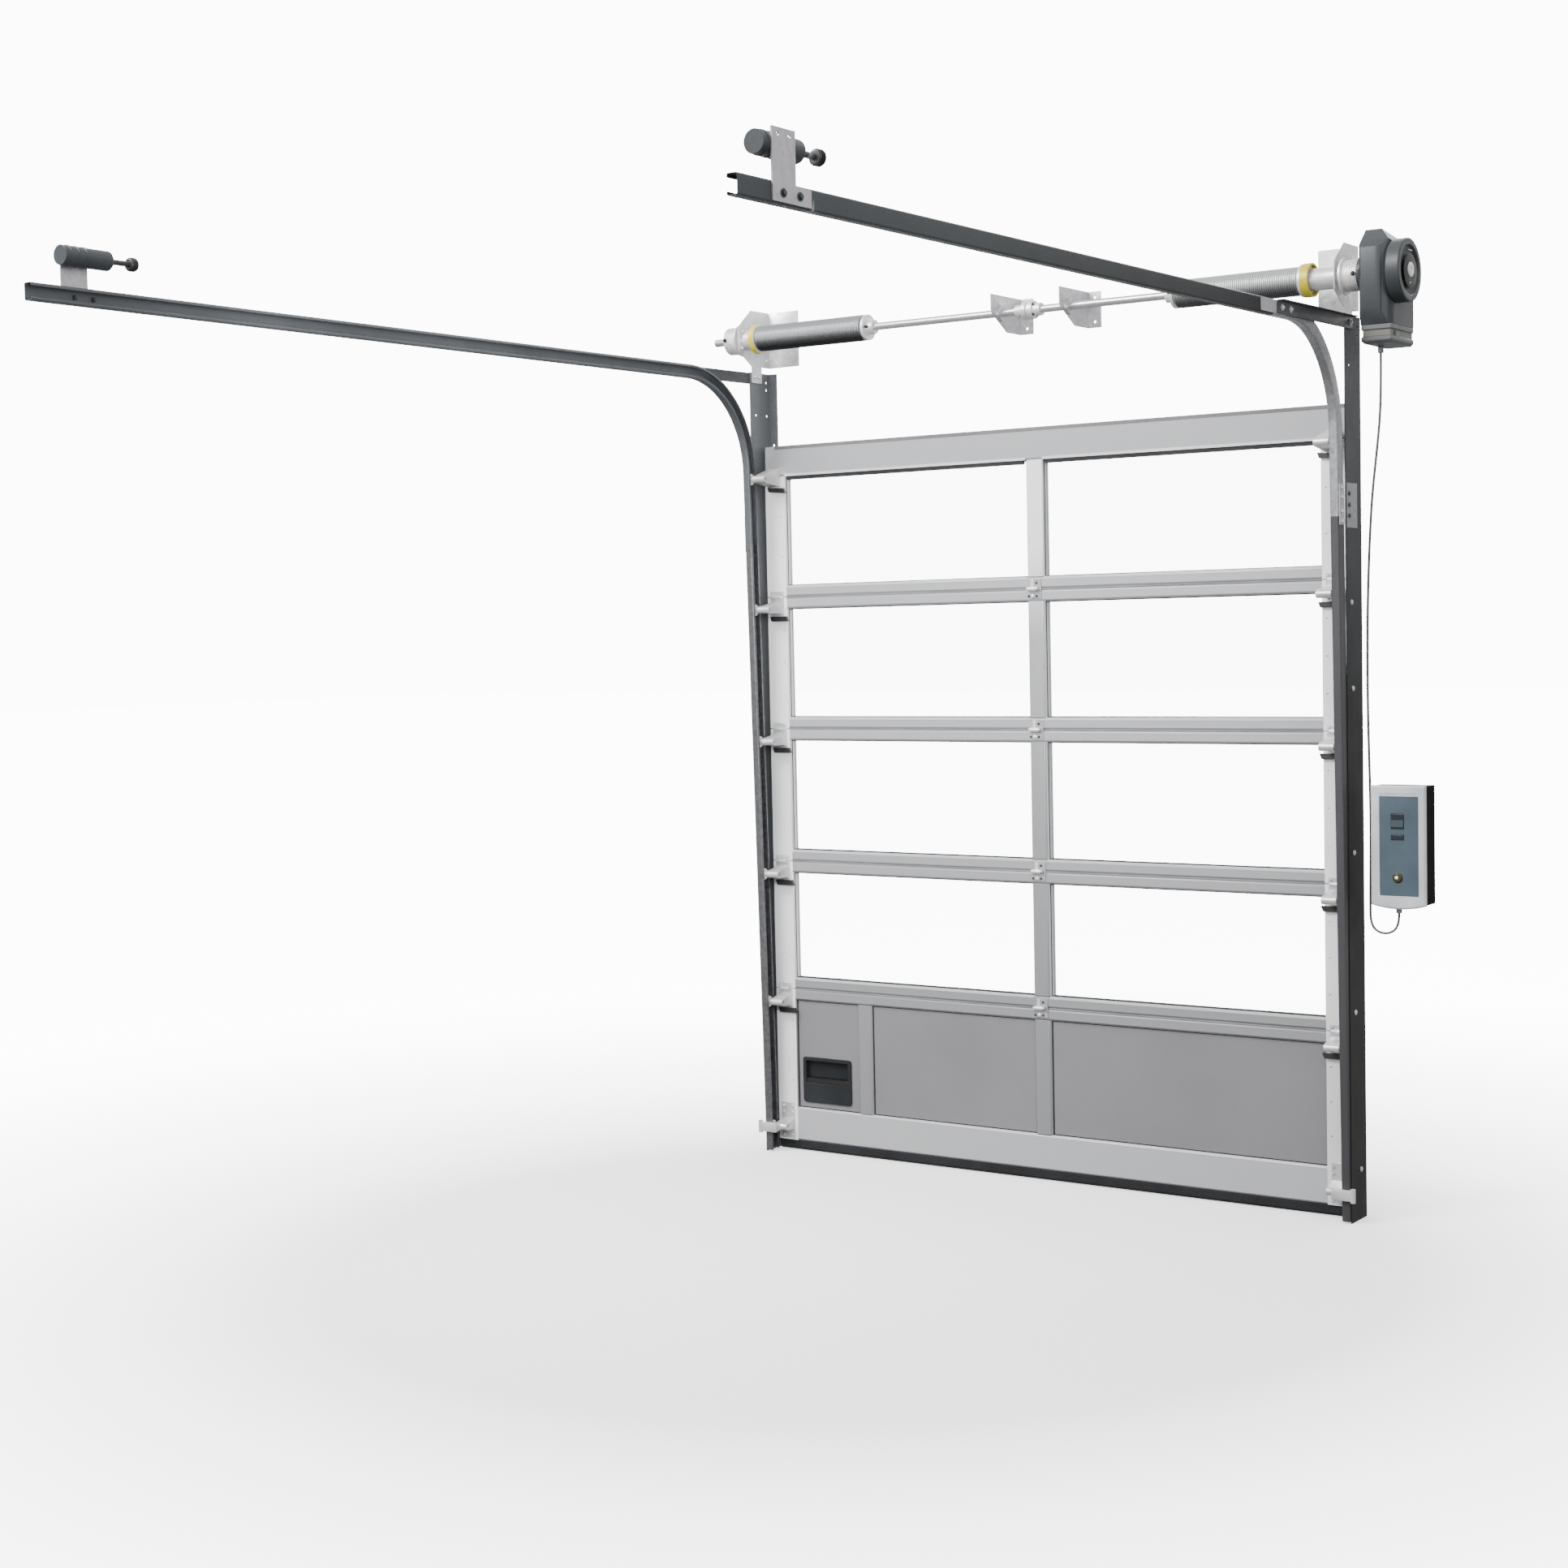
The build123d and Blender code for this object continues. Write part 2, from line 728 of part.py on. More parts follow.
for side, where in sides:
    with BuildPart() as buffer_rod:
        rod_plane = Plane(
            origin=(across(side, buffer_x), buffer_front_y - rod_inside, buffer_z),
            x_dir=(1, 0, 0),
            z_dir=(0, 1, 0),
        )
        with BuildSketch(rod_plane):
            Circle(rod_r)
        extrude(amount=rod_inside + rod_show)
        with BuildSketch(rod_plane.offset(rod_inside + rod_show)):
            Circle(knob_r)
        extrude(amount=knob_long)
        knob_edges = edges().filter_by(GeomType.CIRCLE).filter_by(lambda e: e.radius == knob_r)
        fillet(knob_edges, knob_round)
    save(buffer_rod, f"buffer_rod_{where}")


def disc(x_from, x_to, radius, inner=0.0):
    """Add a round piece on the shaft's axis, from one X to another, bored if inner is given."""
    low, high = min(x_from, x_to), max(x_from, x_to)
    with BuildSketch(Plane(origin=(low, shaft_y, shaft_z), x_dir=(0, 1, 0), z_dir=(1, 0, 0))) as ring:
        Circle(radius)
        if inner:
            Circle(inner, mode=Mode.SUBTRACT)
    extrude(ring.sketch, amount=high - low)


def shaft_bore(x_from, x_to):
    """Cut the shaft's running bore through the part in progress, from one X to another."""
    with BuildSketch(Plane(origin=(x_from, shaft_y, shaft_z), x_dir=(0, 1, 0), z_dir=(1, 0, 0))) as hole:
        Circle(shaft_r + bore_play)
    extrude(hole.sketch, amount=x_to - x_from, mode=Mode.SUBTRACT)


# Torsion shaft, in one line of bearings from end to end
with BuildPart() as torsion_shaft:
    disc(across(-1, shaft_left), across(1, shaft_right), shaft_r)
save(torsion_shaft, "torsion_shaft")

# Shaft coupling: two flanged halves, bolted together across a gap
seat_r = shaft_r + seat_play
with BuildPart() as shaft_coupling:
    for way in (-1, 1):
        inner_x = mid_x + coupling_x + way * coupling_gap / 2
        disc(inner_x, inner_x + way * coupling_half, coupling_r, seat_r)
        hub_x = inner_x + way * coupling_half
        disc(hub_x, hub_x + way * coupling_hub_long, coupling_hub_r, seat_r)
    disc(
        mid_x + coupling_x - coupling_gap / 2,
        mid_x + coupling_x + coupling_gap / 2,
        coupling_gap_r,
        seat_r,
    )
save(shaft_coupling, "shaft_coupling")

# Cable drums outside the end plates, with the cable's grooves
with BuildPart() as cable_drums:
    for side, where in sides:
        near = across(side, drum_from)
        disc(near, near + side * drum_flange, drum_flange_r, seat_r)
        disc(near + side * drum_flange, near + side * drum_long, drum_r, seat_r)
        count = int((drum_long - drum_flange) / groove_pitch)
        for turn in range(count):
            middle = near + side * (drum_flange + groove_pitch * (turn + 0.5))
            with Locations((middle, shaft_y, shaft_z)):
                Torus(drum_r, groove_r, rotation=(0, 90, 0), mode=Mode.SUBTRACT)
save(cable_drums, "cable_drums")

# Torsion springs, each a close-wound tube, wound up by the cones at their inner ends
left_outer = track_out - left_spring_in
right_outer = track_out - right_spring_in
spring_ends = {
    "left": (left_outer - left_spring_long, left_outer),
    "right": (right_outer - right_spring_long, right_outer),
}
for side, where in sides:
    inner_end, outer_end = spring_ends[where]
    with BuildPart() as spring:
        disc(across(side, inner_end), across(side, outer_end), spring_r, spring_r - spring_wire)
    save(spring, f"spring_{where}")

with BuildPart() as winding_cones:
    for side, where in sides:
        inner_end = spring_ends[where][0]
        rim = across(side, inner_end - running_gap)
        disc(rim, rim - side * cone_flange, cone_flange_r, seat_r)
        disc(rim, rim + side * cone_snout_long, cone_snout_r, seat_r)
        tail = rim - side * cone_flange
        disc(tail, tail - side * cone_tail, cone_tail_r, seat_r)
save(winding_cones, "winding_cones")

# Fixed ends of the springs: a yellow ring, a plug inside the spring and a hub bolted to the end plate
with BuildPart() as spring_anchors:
    for side, where in sides:
        outer_end = spring_ends[where][1]
        ring = across(side, outer_end)
        web_face = across(side, track_out - end_plate_thick)
        disc(ring, ring + side * anchor_ring, anchor_ring_r, shaft_r + running_gap)
        disc(ring, ring - side * anchor_plug, spring_r - spring_wire, shaft_r + running_gap)
        disc(ring + side * anchor_ring, web_face, anchor_hub_r, shaft_r + running_gap)
save(spring_anchors, "spring_anchors")

# End bearing plates: a flange on the wall and a web, bolted to the wall angle's leg, that holds a bearing
tail_low = end_plate_low - end_web_tail
with BuildPart() as end_plates:
    for side, where in sides:
        web_out = across(side, track_out)
        web_in = across(side, track_out - end_plate_thick)
        flange_far = across(side, track_out - end_plate_wide)
        left, right = sorted((web_out, flange_far))
        block((left, -end_plate_thick, end_plate_low), (right, 0, end_plate_top))
        web_plane = Plane(origin=(min(web_out, web_in), 0, 0), x_dir=(0, 1, 0), z_dir=(1, 0, 0))
        with BuildSketch(web_plane):
            with BuildLine():
                Polyline(
                    (0, end_plate_low),
                    (-end_web_tail_back, end_plate_low),
                    (-end_web_tail_back, tail_low),
                    (-end_web_tail_front, tail_low),
                    (-end_web_tail_front, end_plate_low),
                    (-end_web_reach, shaft_z - end_web_nose),
                    (-end_web_reach, shaft_z + end_web_nose),
                    (-end_web_tail_front, end_plate_top),
                    (0, end_plate_top),
                    close=True,
                )
            make_face()
        extrude(amount=end_plate_thick)
        disc(web_out, web_out + side * bearing_long, bearing_r)
        shaft_bore(left - bearing_long, right + bearing_long)
save(end_plates, "end_plates")

# Middle bearing plates: a short flange on the wall and a tapered web with a bearing
with BuildPart() as centre_plates:
    for place in mid_plates:
        face = mid_x + place
        block(
            (face, -end_plate_thick, mid_plate_low),
            (face + mid_plate_flange, 0, mid_plate_top),
        )
        with BuildSketch(Plane(origin=(face, 0, 0), x_dir=(0, 1, 0), z_dir=(1, 0, 0))):
            with BuildLine():
                Polyline(
                    (0, mid_plate_low),
                    (-mid_plate_foot, mid_plate_low),
                    (-mid_plate_reach, shaft_z),
                    (-mid_plate_reach, mid_plate_top),
                    (0, mid_plate_top),
                    close=True,
                )
            make_face()
        extrude(amount=end_plate_thick)
        disc(face, face + mid_bearing_long, mid_bearing_r)
        shaft_bore(face, face + mid_bearing_long)
        hole_x = face + (mid_plate_flange + end_plate_thick) / 2
        hole_mid = (mid_plate_low + mid_plate_top) / 2
        for way in (-1, 1):
            with Locations((hole_x, -end_plate_thick / 2, hole_mid + way * mid_plate_hole_pitch / 2)):
                Cylinder(wall_hole_r, cutter_long, rotation=(90, 0, 0), mode=Mode.SUBTRACT)
save(centre_plates, "centre_plates")

# Drive unit: a tall housing with a sloping roof and a rounded free corner, bored for the shaft
motor_x = mid_x + motor_left
motor_front = -motor_deep
with BuildPart() as motor_housing:
    with BuildSketch(Plane(origin=(motor_x, 0, 0), x_dir=(0, 1, 0), z_dir=(1, 0, 0))):
        with BuildLine():
            Polyline(
                (0, motor_low),
                (motor_front + motor_neck, motor_low),
                (motor_front, motor_low + motor_neck_high),
                (motor_front, motor_top - motor_shoulder_low),
                (motor_front + motor_shoulder, motor_top - motor_shoulder_high),
                (motor_front + motor_ridge, motor_top),
                (0, motor_top - motor_back_below),
                close=True,
            )
        make_face()
    extrude(amount=motor_wide)
    with BuildSketch(Plane.XY.offset(motor_low)):
        with Locations((motor_x + motor_wide / 2, motor_front / 2)):
            Rectangle(motor_wide, motor_deep)
        fillet(vertices().group_by(Axis.Y)[0].sort_by(Axis.X)[-1], motor_corner)
        chamfer(vertices().group_by(Axis.Y)[0].sort_by(Axis.X)[0], motor_edge)
    extrude(amount=motor_top - motor_low, mode=Mode.INTERSECT)
    with BuildSketch(Plane.XZ):
        with Locations((motor_x + motor_wide / 2, (motor_low + motor_top) / 2)):
            Rectangle(motor_wide, motor_top - motor_low)
        chamfer(vertices().group_by(Axis.Y)[-1].sort_by(Axis.X)[-1], motor_crown)
    extrude(amount=motor_deep, mode=Mode.INTERSECT)
    disc(motor_x - hub_long, motor_x, hub_r)
    shaft_bore(motor_x - hub_long, motor_x + motor_wide)
save(motor_housing, "motor_housing")

# Round boss on the drive unit's free side, with a raised rim about the shaft's end
boss_x = motor_x + motor_wide
with BuildPart() as motor_boss:
    disc(boss_x, boss_x + boss_long, boss_r)
    with BuildSketch(Plane(origin=(boss_x + boss_long, shaft_y, shaft_z), x_dir=(0, 1, 0), z_dir=(1, 0, 0))):
        Circle(boss_r - boss_rim)
        Circle(boss_eye_r, mode=Mode.SUBTRACT)
    extrude(amount=-boss_recess, mode=Mode.SUBTRACT)
    shaft_bore(boss_x, boss_x + boss_long)
save(motor_boss, "motor_boss")

# End cap under the drive unit: a rim, a sunk strip and a foot with bevelled edges
cap_low = motor_low - cap_high
cap_front = motor_front + motor_neck
foot_high = cap_high - cap_rim - cap_strip
with BuildPart() as motor_end_cap:
    block((motor_x, cap_front, cap_low), (motor_x + motor_wide, 0, cap_low + foot_high))
    chamfer(faces().sort_by(Axis.Z)[0].edges().group_by(Axis.Y)[:-1], motor_edge)
    block(
        (motor_x + cap_strip_in, cap_front + cap_strip_in, cap_low + foot_high),
        (motor_x + motor_wide - cap_strip_in, 0, motor_low - cap_rim),
    )
    block((motor_x, cap_front, motor_low - cap_rim), (motor_x + motor_wide, 0, motor_low))
save(motor_end_cap, "motor_end_cap")

# Control box: a black back box, a pale cover with a bowed foot, and a sunk panel
box_mid = mid_x + box_left + box_wide / 2
box_top = box_low + box_high


def box_outline(inset):
    """Draw the control box from the front, with the bowed lower edge."""
    half = box_wide / 2 - inset
    foot = box_low + box_sag + inset
    with BuildLine() as rim:
        Polyline((-half, foot), (-half, box_top - inset), (half, box_top - inset), (half, foot))
        ThreePointArc((half, foot), (0, box_low + inset), (-half, foot))
    make_face(rim.edges())


with BuildPart() as control_box:
    with BuildSketch(Plane(origin=(box_mid, 0, 0), x_dir=(1, 0, 0), z_dir=(0, -1, 0))):
        box_outline(box_inset)
    extrude(amount=box_deep)
save(control_box, "control_box")

with BuildPart() as control_cover:
    cover_plane = Plane(origin=(box_mid, -box_deep, 0), x_dir=(1, 0, 0), z_dir=(0, -1, 0))
    with BuildSketch(cover_plane):
        box_outline(0)
    extrude(amount=cover_deep)
    chamfer(faces().sort_by(Axis.Y)[0].edges(), cover_edge)
    with BuildSketch(cover_plane.offset(cover_deep)):
        with Locations((0, box_low + box_sag + box_high / 2)):
            Rectangle(panel_wide, panel_high)
    extrude(amount=-panel_sunk, mode=Mode.SUBTRACT)
    keys = ((box_low + upper_key_up, upper_key_high), (box_low + lower_key_up, lower_key_high))
    with BuildSketch(cover_plane.offset(cover_deep)):
        for height, tall in keys:
            with Locations((0, height)):
                Rectangle(key_wide + 2 * key_play, tall + 2 * key_play)
    extrude(amount=-cover_deep, mode=Mode.SUBTRACT)
save(control_cover, "control_cover")

# Two sprung keys in the cover, and the round lamp below them
panel_y = -box_deep - cover_deep + panel_sunk
key_rear_y = -box_deep - running_gap - key_travel
for name, (height, tall) in zip(("key_upper", "key_lower"), keys):
    with BuildPart() as key:
        block(
            (box_mid - key_wide / 2, panel_y - key_proud, height - tall / 2),
            (box_mid + key_wide / 2, key_rear_y, height + tall / 2),
        )
        fillet(faces().sort_by(Axis.Y)[0].edges(), key_round)
    save(key, name)

with BuildPart() as control_lamp:
    with BuildSketch(Plane(origin=(box_mid, panel_y, box_low + lamp_up), x_dir=(1, 0, 0), z_dir=(0, -1, 0))):
        Circle(lamp_r)
    extrude(amount=lamp_proud)
    fillet(faces().sort_by(Axis.Y)[0].edges(), lamp_round)
save(control_lamp, "control_lamp")

# Motor cable: it hangs from the drive unit, passes the control box and turns up into it.
# The route's X values start at the outer face of the right wall angle.
cable_route = (
    (95, -70, cap_low - gland_long),
    (95, -70, 2612),
    (91, -68, 2512),
    (80, -64, 2418),
    (66, -58, 2326),
    (54, -52, 2232),
    (46, -48, 2128),
    (40, -46, 2015),
    (36, -45, 1900),
    (34, -44, 1784),
    (33.5, -43.5, 1668),
    (34.5, -43, 1552),
    (37, -43, 1437),
    (39.5, -43.5, 1322),
    (40, -44, 1208),
    (38.5, -44.5, 1102),
    (37.5, -45, 1008),
    (38, -45.5, 936),
    (65, -46, 909),
    (104, -46, 909),
    (131, -45, 936),
    (131, -45, box_under - gland_long),
)
cable_points = [Vector(across(1, angle_out + x), y, z) for x, y, z in cable_route]
cable_radii = []
for before, point, after in zip(cable_points, cable_points[1:], cable_points[2:]):
    turn = radians((point - before).get_angle(after - point))
    shorter = min((point - before).length, (after - point).length)
    cable_radii.append(bend_share * shorter / tan(turn / 2))
print("cable radii", [round(r) for r in cable_radii])

with BuildPart() as motor_cable:
    with BuildLine() as cable_line:
        FilletPolyline(*cable_points, radius=cable_radii)
    with BuildSketch(Plane(origin=cable_points[0], z_dir=cable_line.line % 0)):
        Circle(cable_r)
    sweep()
cable_long = sum(edge.length for edge in cable_line.line.edges())
tube_share = motor_cable.part.volume / (pi * cable_r**2 * cable_long)
print("cable length", round(cable_long), "volume over section times length", round(tube_share, 4))
save(motor_cable, "motor_cable")

# Glands: the nuts that the cable leaves the drive unit and enters the control box through
with BuildPart() as cable_glands:
    for end, top in ((cable_points[0], cap_low), (cable_points[-1], box_under)):
        with Locations((end.X, end.Y, top - gland_long / 2)):
            Cylinder(gland_r, gland_long)
save(cable_glands, "cable_glands")
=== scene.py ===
"""The looks of a sectional aluminium garage door, closed, seen from inside the garage. Metres."""

import bmesh
import bpy
import json
import math
from mathutils import Matrix, Vector

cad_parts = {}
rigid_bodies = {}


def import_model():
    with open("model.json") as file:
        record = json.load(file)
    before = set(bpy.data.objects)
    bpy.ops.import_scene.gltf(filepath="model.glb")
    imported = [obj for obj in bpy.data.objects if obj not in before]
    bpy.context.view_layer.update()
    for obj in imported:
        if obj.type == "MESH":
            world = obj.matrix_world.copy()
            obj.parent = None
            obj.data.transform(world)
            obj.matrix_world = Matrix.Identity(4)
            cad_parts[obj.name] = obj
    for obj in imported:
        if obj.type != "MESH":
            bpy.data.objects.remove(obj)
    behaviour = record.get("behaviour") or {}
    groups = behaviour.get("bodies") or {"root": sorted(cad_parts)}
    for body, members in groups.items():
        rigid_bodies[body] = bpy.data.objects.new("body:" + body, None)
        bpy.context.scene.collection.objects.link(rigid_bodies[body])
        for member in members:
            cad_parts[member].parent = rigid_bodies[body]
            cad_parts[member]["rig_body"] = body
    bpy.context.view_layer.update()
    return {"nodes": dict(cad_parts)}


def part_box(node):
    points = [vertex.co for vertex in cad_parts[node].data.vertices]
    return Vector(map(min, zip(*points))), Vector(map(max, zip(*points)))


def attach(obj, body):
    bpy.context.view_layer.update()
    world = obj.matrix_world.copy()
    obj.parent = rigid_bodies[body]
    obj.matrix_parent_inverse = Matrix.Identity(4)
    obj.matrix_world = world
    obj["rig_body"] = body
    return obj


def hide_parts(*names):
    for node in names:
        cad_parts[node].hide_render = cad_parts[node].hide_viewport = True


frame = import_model()

# Camera: it stands to the right of the door, a little above its middle, and looks left along the high tracks.
# Its place, turn and lens come from the leaf's corners, the tracks and the floor edge in the photograph.
leaf_low, leaf_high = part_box("section_1_rails")
middle_x = (leaf_low.x + leaf_high.x) / 2
leaf_front_y = leaf_low.y
leaf_back_y = leaf_high.y
frame_px = 1932
lens_px = 3014.08
lens_centre_px = (1006.15, 959.87)
camera_turn = math.radians(34.711)
camera_dip = math.radians(3.346)
camera_roll = math.radians(-1.2115)
forward = Vector((
    -math.sin(camera_turn) * math.cos(camera_dip),
    math.cos(camera_turn) * math.cos(camera_dip),
    -math.sin(camera_dip),
))
level = Vector((math.cos(camera_turn), math.sin(camera_turn), 0))
upright = level.cross(forward)
camera_x = level * math.cos(camera_roll) + upright * math.sin(camera_roll)
camera_y = upright * math.cos(camera_roll) - level * math.sin(camera_roll)
lens = bpy.data.cameras.new("camera")
lens.sensor_fit = "HORIZONTAL"
lens.angle = 2 * math.atan(frame_px / 2 / lens_px)
lens.shift_x = (frame_px / 2 - lens_centre_px[0]) / frame_px
lens.shift_y = (lens_centre_px[1] - frame_px / 2) / frame_px
lens.clip_end = 200
def placed(name, data):
    """Make an object of some data and link it to the scene."""
    piece = bpy.data.objects.new(name, data)
    bpy.context.scene.collection.objects.link(piece)
    return piece


camera = placed("camera", lens)
camera.matrix_world = Matrix((camera_x, camera_y, -forward)).transposed().to_4x4()
camera.location = (middle_x + 4.0715, -7.2564, 1.8679)
bpy.context.scene.camera = camera


# Motor cable: a round grey lead with a soft plastic sheath, 8 mm thick. It hangs from the drive unit's end cap,
# passes the control box on its left and turns up into the gland under the box.
def feed(tree, node, inputs):
    """Give a node's inputs their values, or links from other nodes' outputs; returns the node."""
    for label, source in inputs.items():
        if isinstance(source, bpy.types.NodeSocket):
            tree.links.new(source, node.inputs[label])
        else:
            node.inputs[label].default_value = source
    return node


def wired(tree, kind, inputs, **settings):
    """Add a node with its settings and its inputs; returns the node."""
    node = tree.nodes.new(kind)
    for label, value in settings.items():
        setattr(node, label, value)
    return feed(tree, node, inputs)


def new_finish(name, colour, rough, metal=0.0):
    """Start a finish: a shader, and the piece's own coordinates to lay patterns on it."""
    finish = bpy.data.materials.new(name)
    finish.use_nodes = True
    tree = finish.node_tree
    looks = {"Base Color": (*colour, 1), "Roughness": rough, "Metallic": metal}
    shader = feed(tree, tree.nodes["Principled BSDF"], looks)
    return finish, tree, shader, wired(tree, "ShaderNodeTexCoord", {}).outputs["Object"]


def mottle(tree, place, grain, stretch=(1, 1, 1), detail=3.0):
    """A noise pattern whose blotches are about as many to the metre as the grain says; returns its value."""
    mapping = wired(tree, "ShaderNodeMapping", {"Vector": place, "Scale": stretch})
    spread = {"Vector": mapping.outputs["Vector"], "Scale": grain, "Detail": detail}
    return wired(tree, "ShaderNodeTexNoise", spread).outputs["Fac"]


def tint(tree, shader, pattern, dark, light, low=0.35, high=0.65):
    """Colour the surface between two shades by a pattern; returns the stops of the ramp between them."""
    ramp = wired(tree, "ShaderNodeValToRGB", {"Fac": pattern})
    stops = ramp.color_ramp.elements
    for index, (at, shade) in enumerate(((low, dark), (high, light))):
        stops[index].position = at
        stops[index].color = (*shade, 1)
    feed(tree, shader, {"Base Color": ramp.outputs["Color"]})
    return stops


def polish(tree, shader, pattern, smooth, rough):
    """Let a pattern move the roughness between two values."""
    span = wired(tree, "ShaderNodeMapRange", {"Value": pattern, "To Min": smooth, "To Max": rough})
    feed(tree, shader, {"Roughness": span.outputs["Result"]})


def emboss(tree, shader, pattern, depth, strength=0.4):
    """Raise and sink the surface by a pattern, to a depth in metres."""
    bump = wired(tree, "ShaderNodeBump", {"Height": pattern, "Strength": strength, "Distance": depth})
    feed(tree, shader, {"Normal": bump.outputs["Normal"]})


def lighter(colour, share):
    """A colour made lighter, or darker with a share under one."""
    return tuple(min(1.0, channel * share) for channel in colour)


cable_thick = 0.008
cable_route = (
    (1.222, -0.070, 2.694),
    (1.222, -0.070, 2.612),
    (1.218, -0.068, 2.512),
    (1.207, -0.064, 2.418),
    (1.193, -0.058, 2.326),
    (1.181, -0.052, 2.232),
    (1.173, -0.048, 2.128),
    (1.167, -0.046, 2.015),
    (1.163, -0.045, 1.900),
    (1.161, -0.044, 1.784),
    (1.1605, -0.0435, 1.668),
    (1.1615, -0.043, 1.552),
    (1.164, -0.043, 1.437),
    (1.1665, -0.0435, 1.322),
    (1.167, -0.044, 1.208),
    (1.1655, -0.0445, 1.102),
    (1.1645, -0.045, 1.008),
    (1.165, -0.0455, 0.936),
    (1.192, -0.046, 0.909),
    (1.231, -0.046, 0.909),
    (1.258, -0.045, 0.936),
    (1.258, -0.045, 0.974),
)
cable_line = bpy.data.curves.new("motor_lead", "CURVE")
cable_line.dimensions = "3D"
cable_line.bevel_depth = cable_thick / 2
cable_line.bevel_resolution = 4
cable_line.resolution_u = 6
cable_line.use_fill_caps = True
cable_spline = cable_line.splines.new("NURBS")
cable_spline.points.add(len(cable_route) - 1)
for point, (x, y, z) in zip(cable_spline.points, cable_route):
    point.co = (middle_x + x, y, z, 1)
cable_spline.order_u = 3
cable_spline.use_endpoint_u = True
sheath, tree, shader, place = new_finish("cable_sheath", (0.12, 0.12, 0.125), 0.5)
tint(tree, shader, mottle(tree, place, 30), (0.1, 0.1, 0.105), (0.14, 0.14, 0.145))
emboss(tree, shader, mottle(tree, place, 900), 0.0002)
cable_line.materials.append(sheath)
motor_lead = placed("motor_lead", cable_line)
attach(motor_lead, "root")
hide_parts("motor_cable")


# Wall angles: two folded steel angles, powder coated slate grey, screwed to the wall beside the doorway. Their
# long legs carry the tracks, and their upper ends have open bolt holes for the bearing plates.
def coat_skin(tree, shader, place, rough):
    """The skin of powder coat: a little dust and fine orange peel."""
    polish(tree, shader, mottle(tree, place, 9), rough - 0.08, rough + 0.1)
    emboss(tree, shader, mottle(tree, place, 700, detail=1.0), 0.0002, 0.3)


def coated_steel(name, colour, rough=0.42):
    """Powder coat on steel, with faint clouds in the colour."""
    finish, tree, shader, place = new_finish(name, colour, rough, 0.1)
    tint(tree, shader, mottle(tree, place, 2.2, (1, 1, 0.5)), lighter(colour, 0.86), lighter(colour, 1.2))
    coat_skin(tree, shader, place, rough)
    return finish


def along(tree, place, axis, here, there):
    """How far along one axis a point lies, from 0 here to 1 there, both in metres."""
    parts = wired(tree, "ShaderNodeSeparateXYZ", {"Vector": place})
    span = wired(tree, "ShaderNodeMapRange", {"Value": parts.outputs[axis], "From Min": here, "From Max": there})
    return span.outputs["Result"]


def shifted(tree, pattern, share, base):
    """A value raised by a share of a pattern."""
    inputs = {0: pattern, 1: share, 2: base}
    return wired(tree, "ShaderNodeMath", inputs, operation="MULTIPLY_ADD").outputs["Value"]


def shade_ramp_coat(name, axis, here, there, shade_here, shade_there, rough=0.42):
    """Powder coat whose colour ramps along one axis from here to there, darker at one end: painted light and
    shade.
    """
    finish, tree, shader, place = new_finish(name, shade_here, rough, 0.1)
    fade = shifted(tree, mottle(tree, place, 2.2), 0.2, along(tree, place, axis, here, there))
    tint(tree, shader, fade, shade_here, shade_there, 0.1, 1.1)
    feed(tree, shader, {"Specular IOR Level": 0.25})
    coat_skin(tree, shader, place, rough)
    return finish


def smooth_faces(mesh, angle=35):
    """Shade a mesh smooth, with its real edges kept sharp."""
    mesh.polygons.foreach_set("use_smooth", [True] * len(mesh.polygons))
    mesh.set_sharp_from_angle(angle=math.radians(angle))


def soften(piece, width):
    """Round a piece's edges by a small radius, as a press or a die leaves them."""
    edge = piece.modifiers.new("edge", "BEVEL")
    edge.width = width
    edge.segments = 2
    edge.limit_method = "ANGLE"
    edge.angle_limit = math.radians(32)
    edge.harden_normals = False


def dressed(node, finish, width=0.0):
    """Give a CAD node its finish, or with a width its finish and rounded edges, as a piece in its place."""
    source = frame["nodes"][node]
    if not width:
        if not source.material_slots:
            source.data.materials.append(finish)
        for material_slot in source.material_slots:
            material_slot.material = finish
        return
    body = bmesh.new()
    body.from_mesh(source.data)
    bmesh.ops.remove_doubles(body, verts=body.verts, dist=0.00001)
    bmesh.ops.dissolve_limit(
        body, angle_limit=math.radians(0.6), use_dissolve_boundaries=False, verts=body.verts, edges=body.edges
    )
    mesh = bpy.data.meshes.new(node + "_dressed")
    body.to_mesh(mesh)
    body.free()
    mesh.materials.clear()
    mesh.materials.append(finish)
    smooth_faces(mesh)
    piece = placed(node + "_dressed", mesh)
    soften(piece, width)
    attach(piece, source["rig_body"])
    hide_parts(node)


slate = (0.036, 0.042, 0.047)
slate_coat = coated_steel("slate_coat", slate)
# A lighter copy of the track coat for the left high track and bend: painted light.
lit_track_slate = coated_steel("lit_track_slate", (0.075, 0.081, 0.089))
# Lit and shaded copies of one slate coat for the two wall angles: the left one's lighter coat is painted light,
# the right one's darker coat is painted shade and darkens further towards the floor.
lit_angle_slate = coated_steel("lit_angle_slate", (0.105, 0.112, 0.12))
shaded_angle_slate = shade_ramp_coat("shaded_angle_slate", "Z", 1.6, 2.5, (0.0095, 0.0098, 0.0098), (0.05, 0.055, 0.062), 0.5)
fold_round = 0.0012
dressed("wall_angle_left", lit_angle_slate, fold_round)
dressed("wall_angle_right", shaded_angle_slate, fold_round)
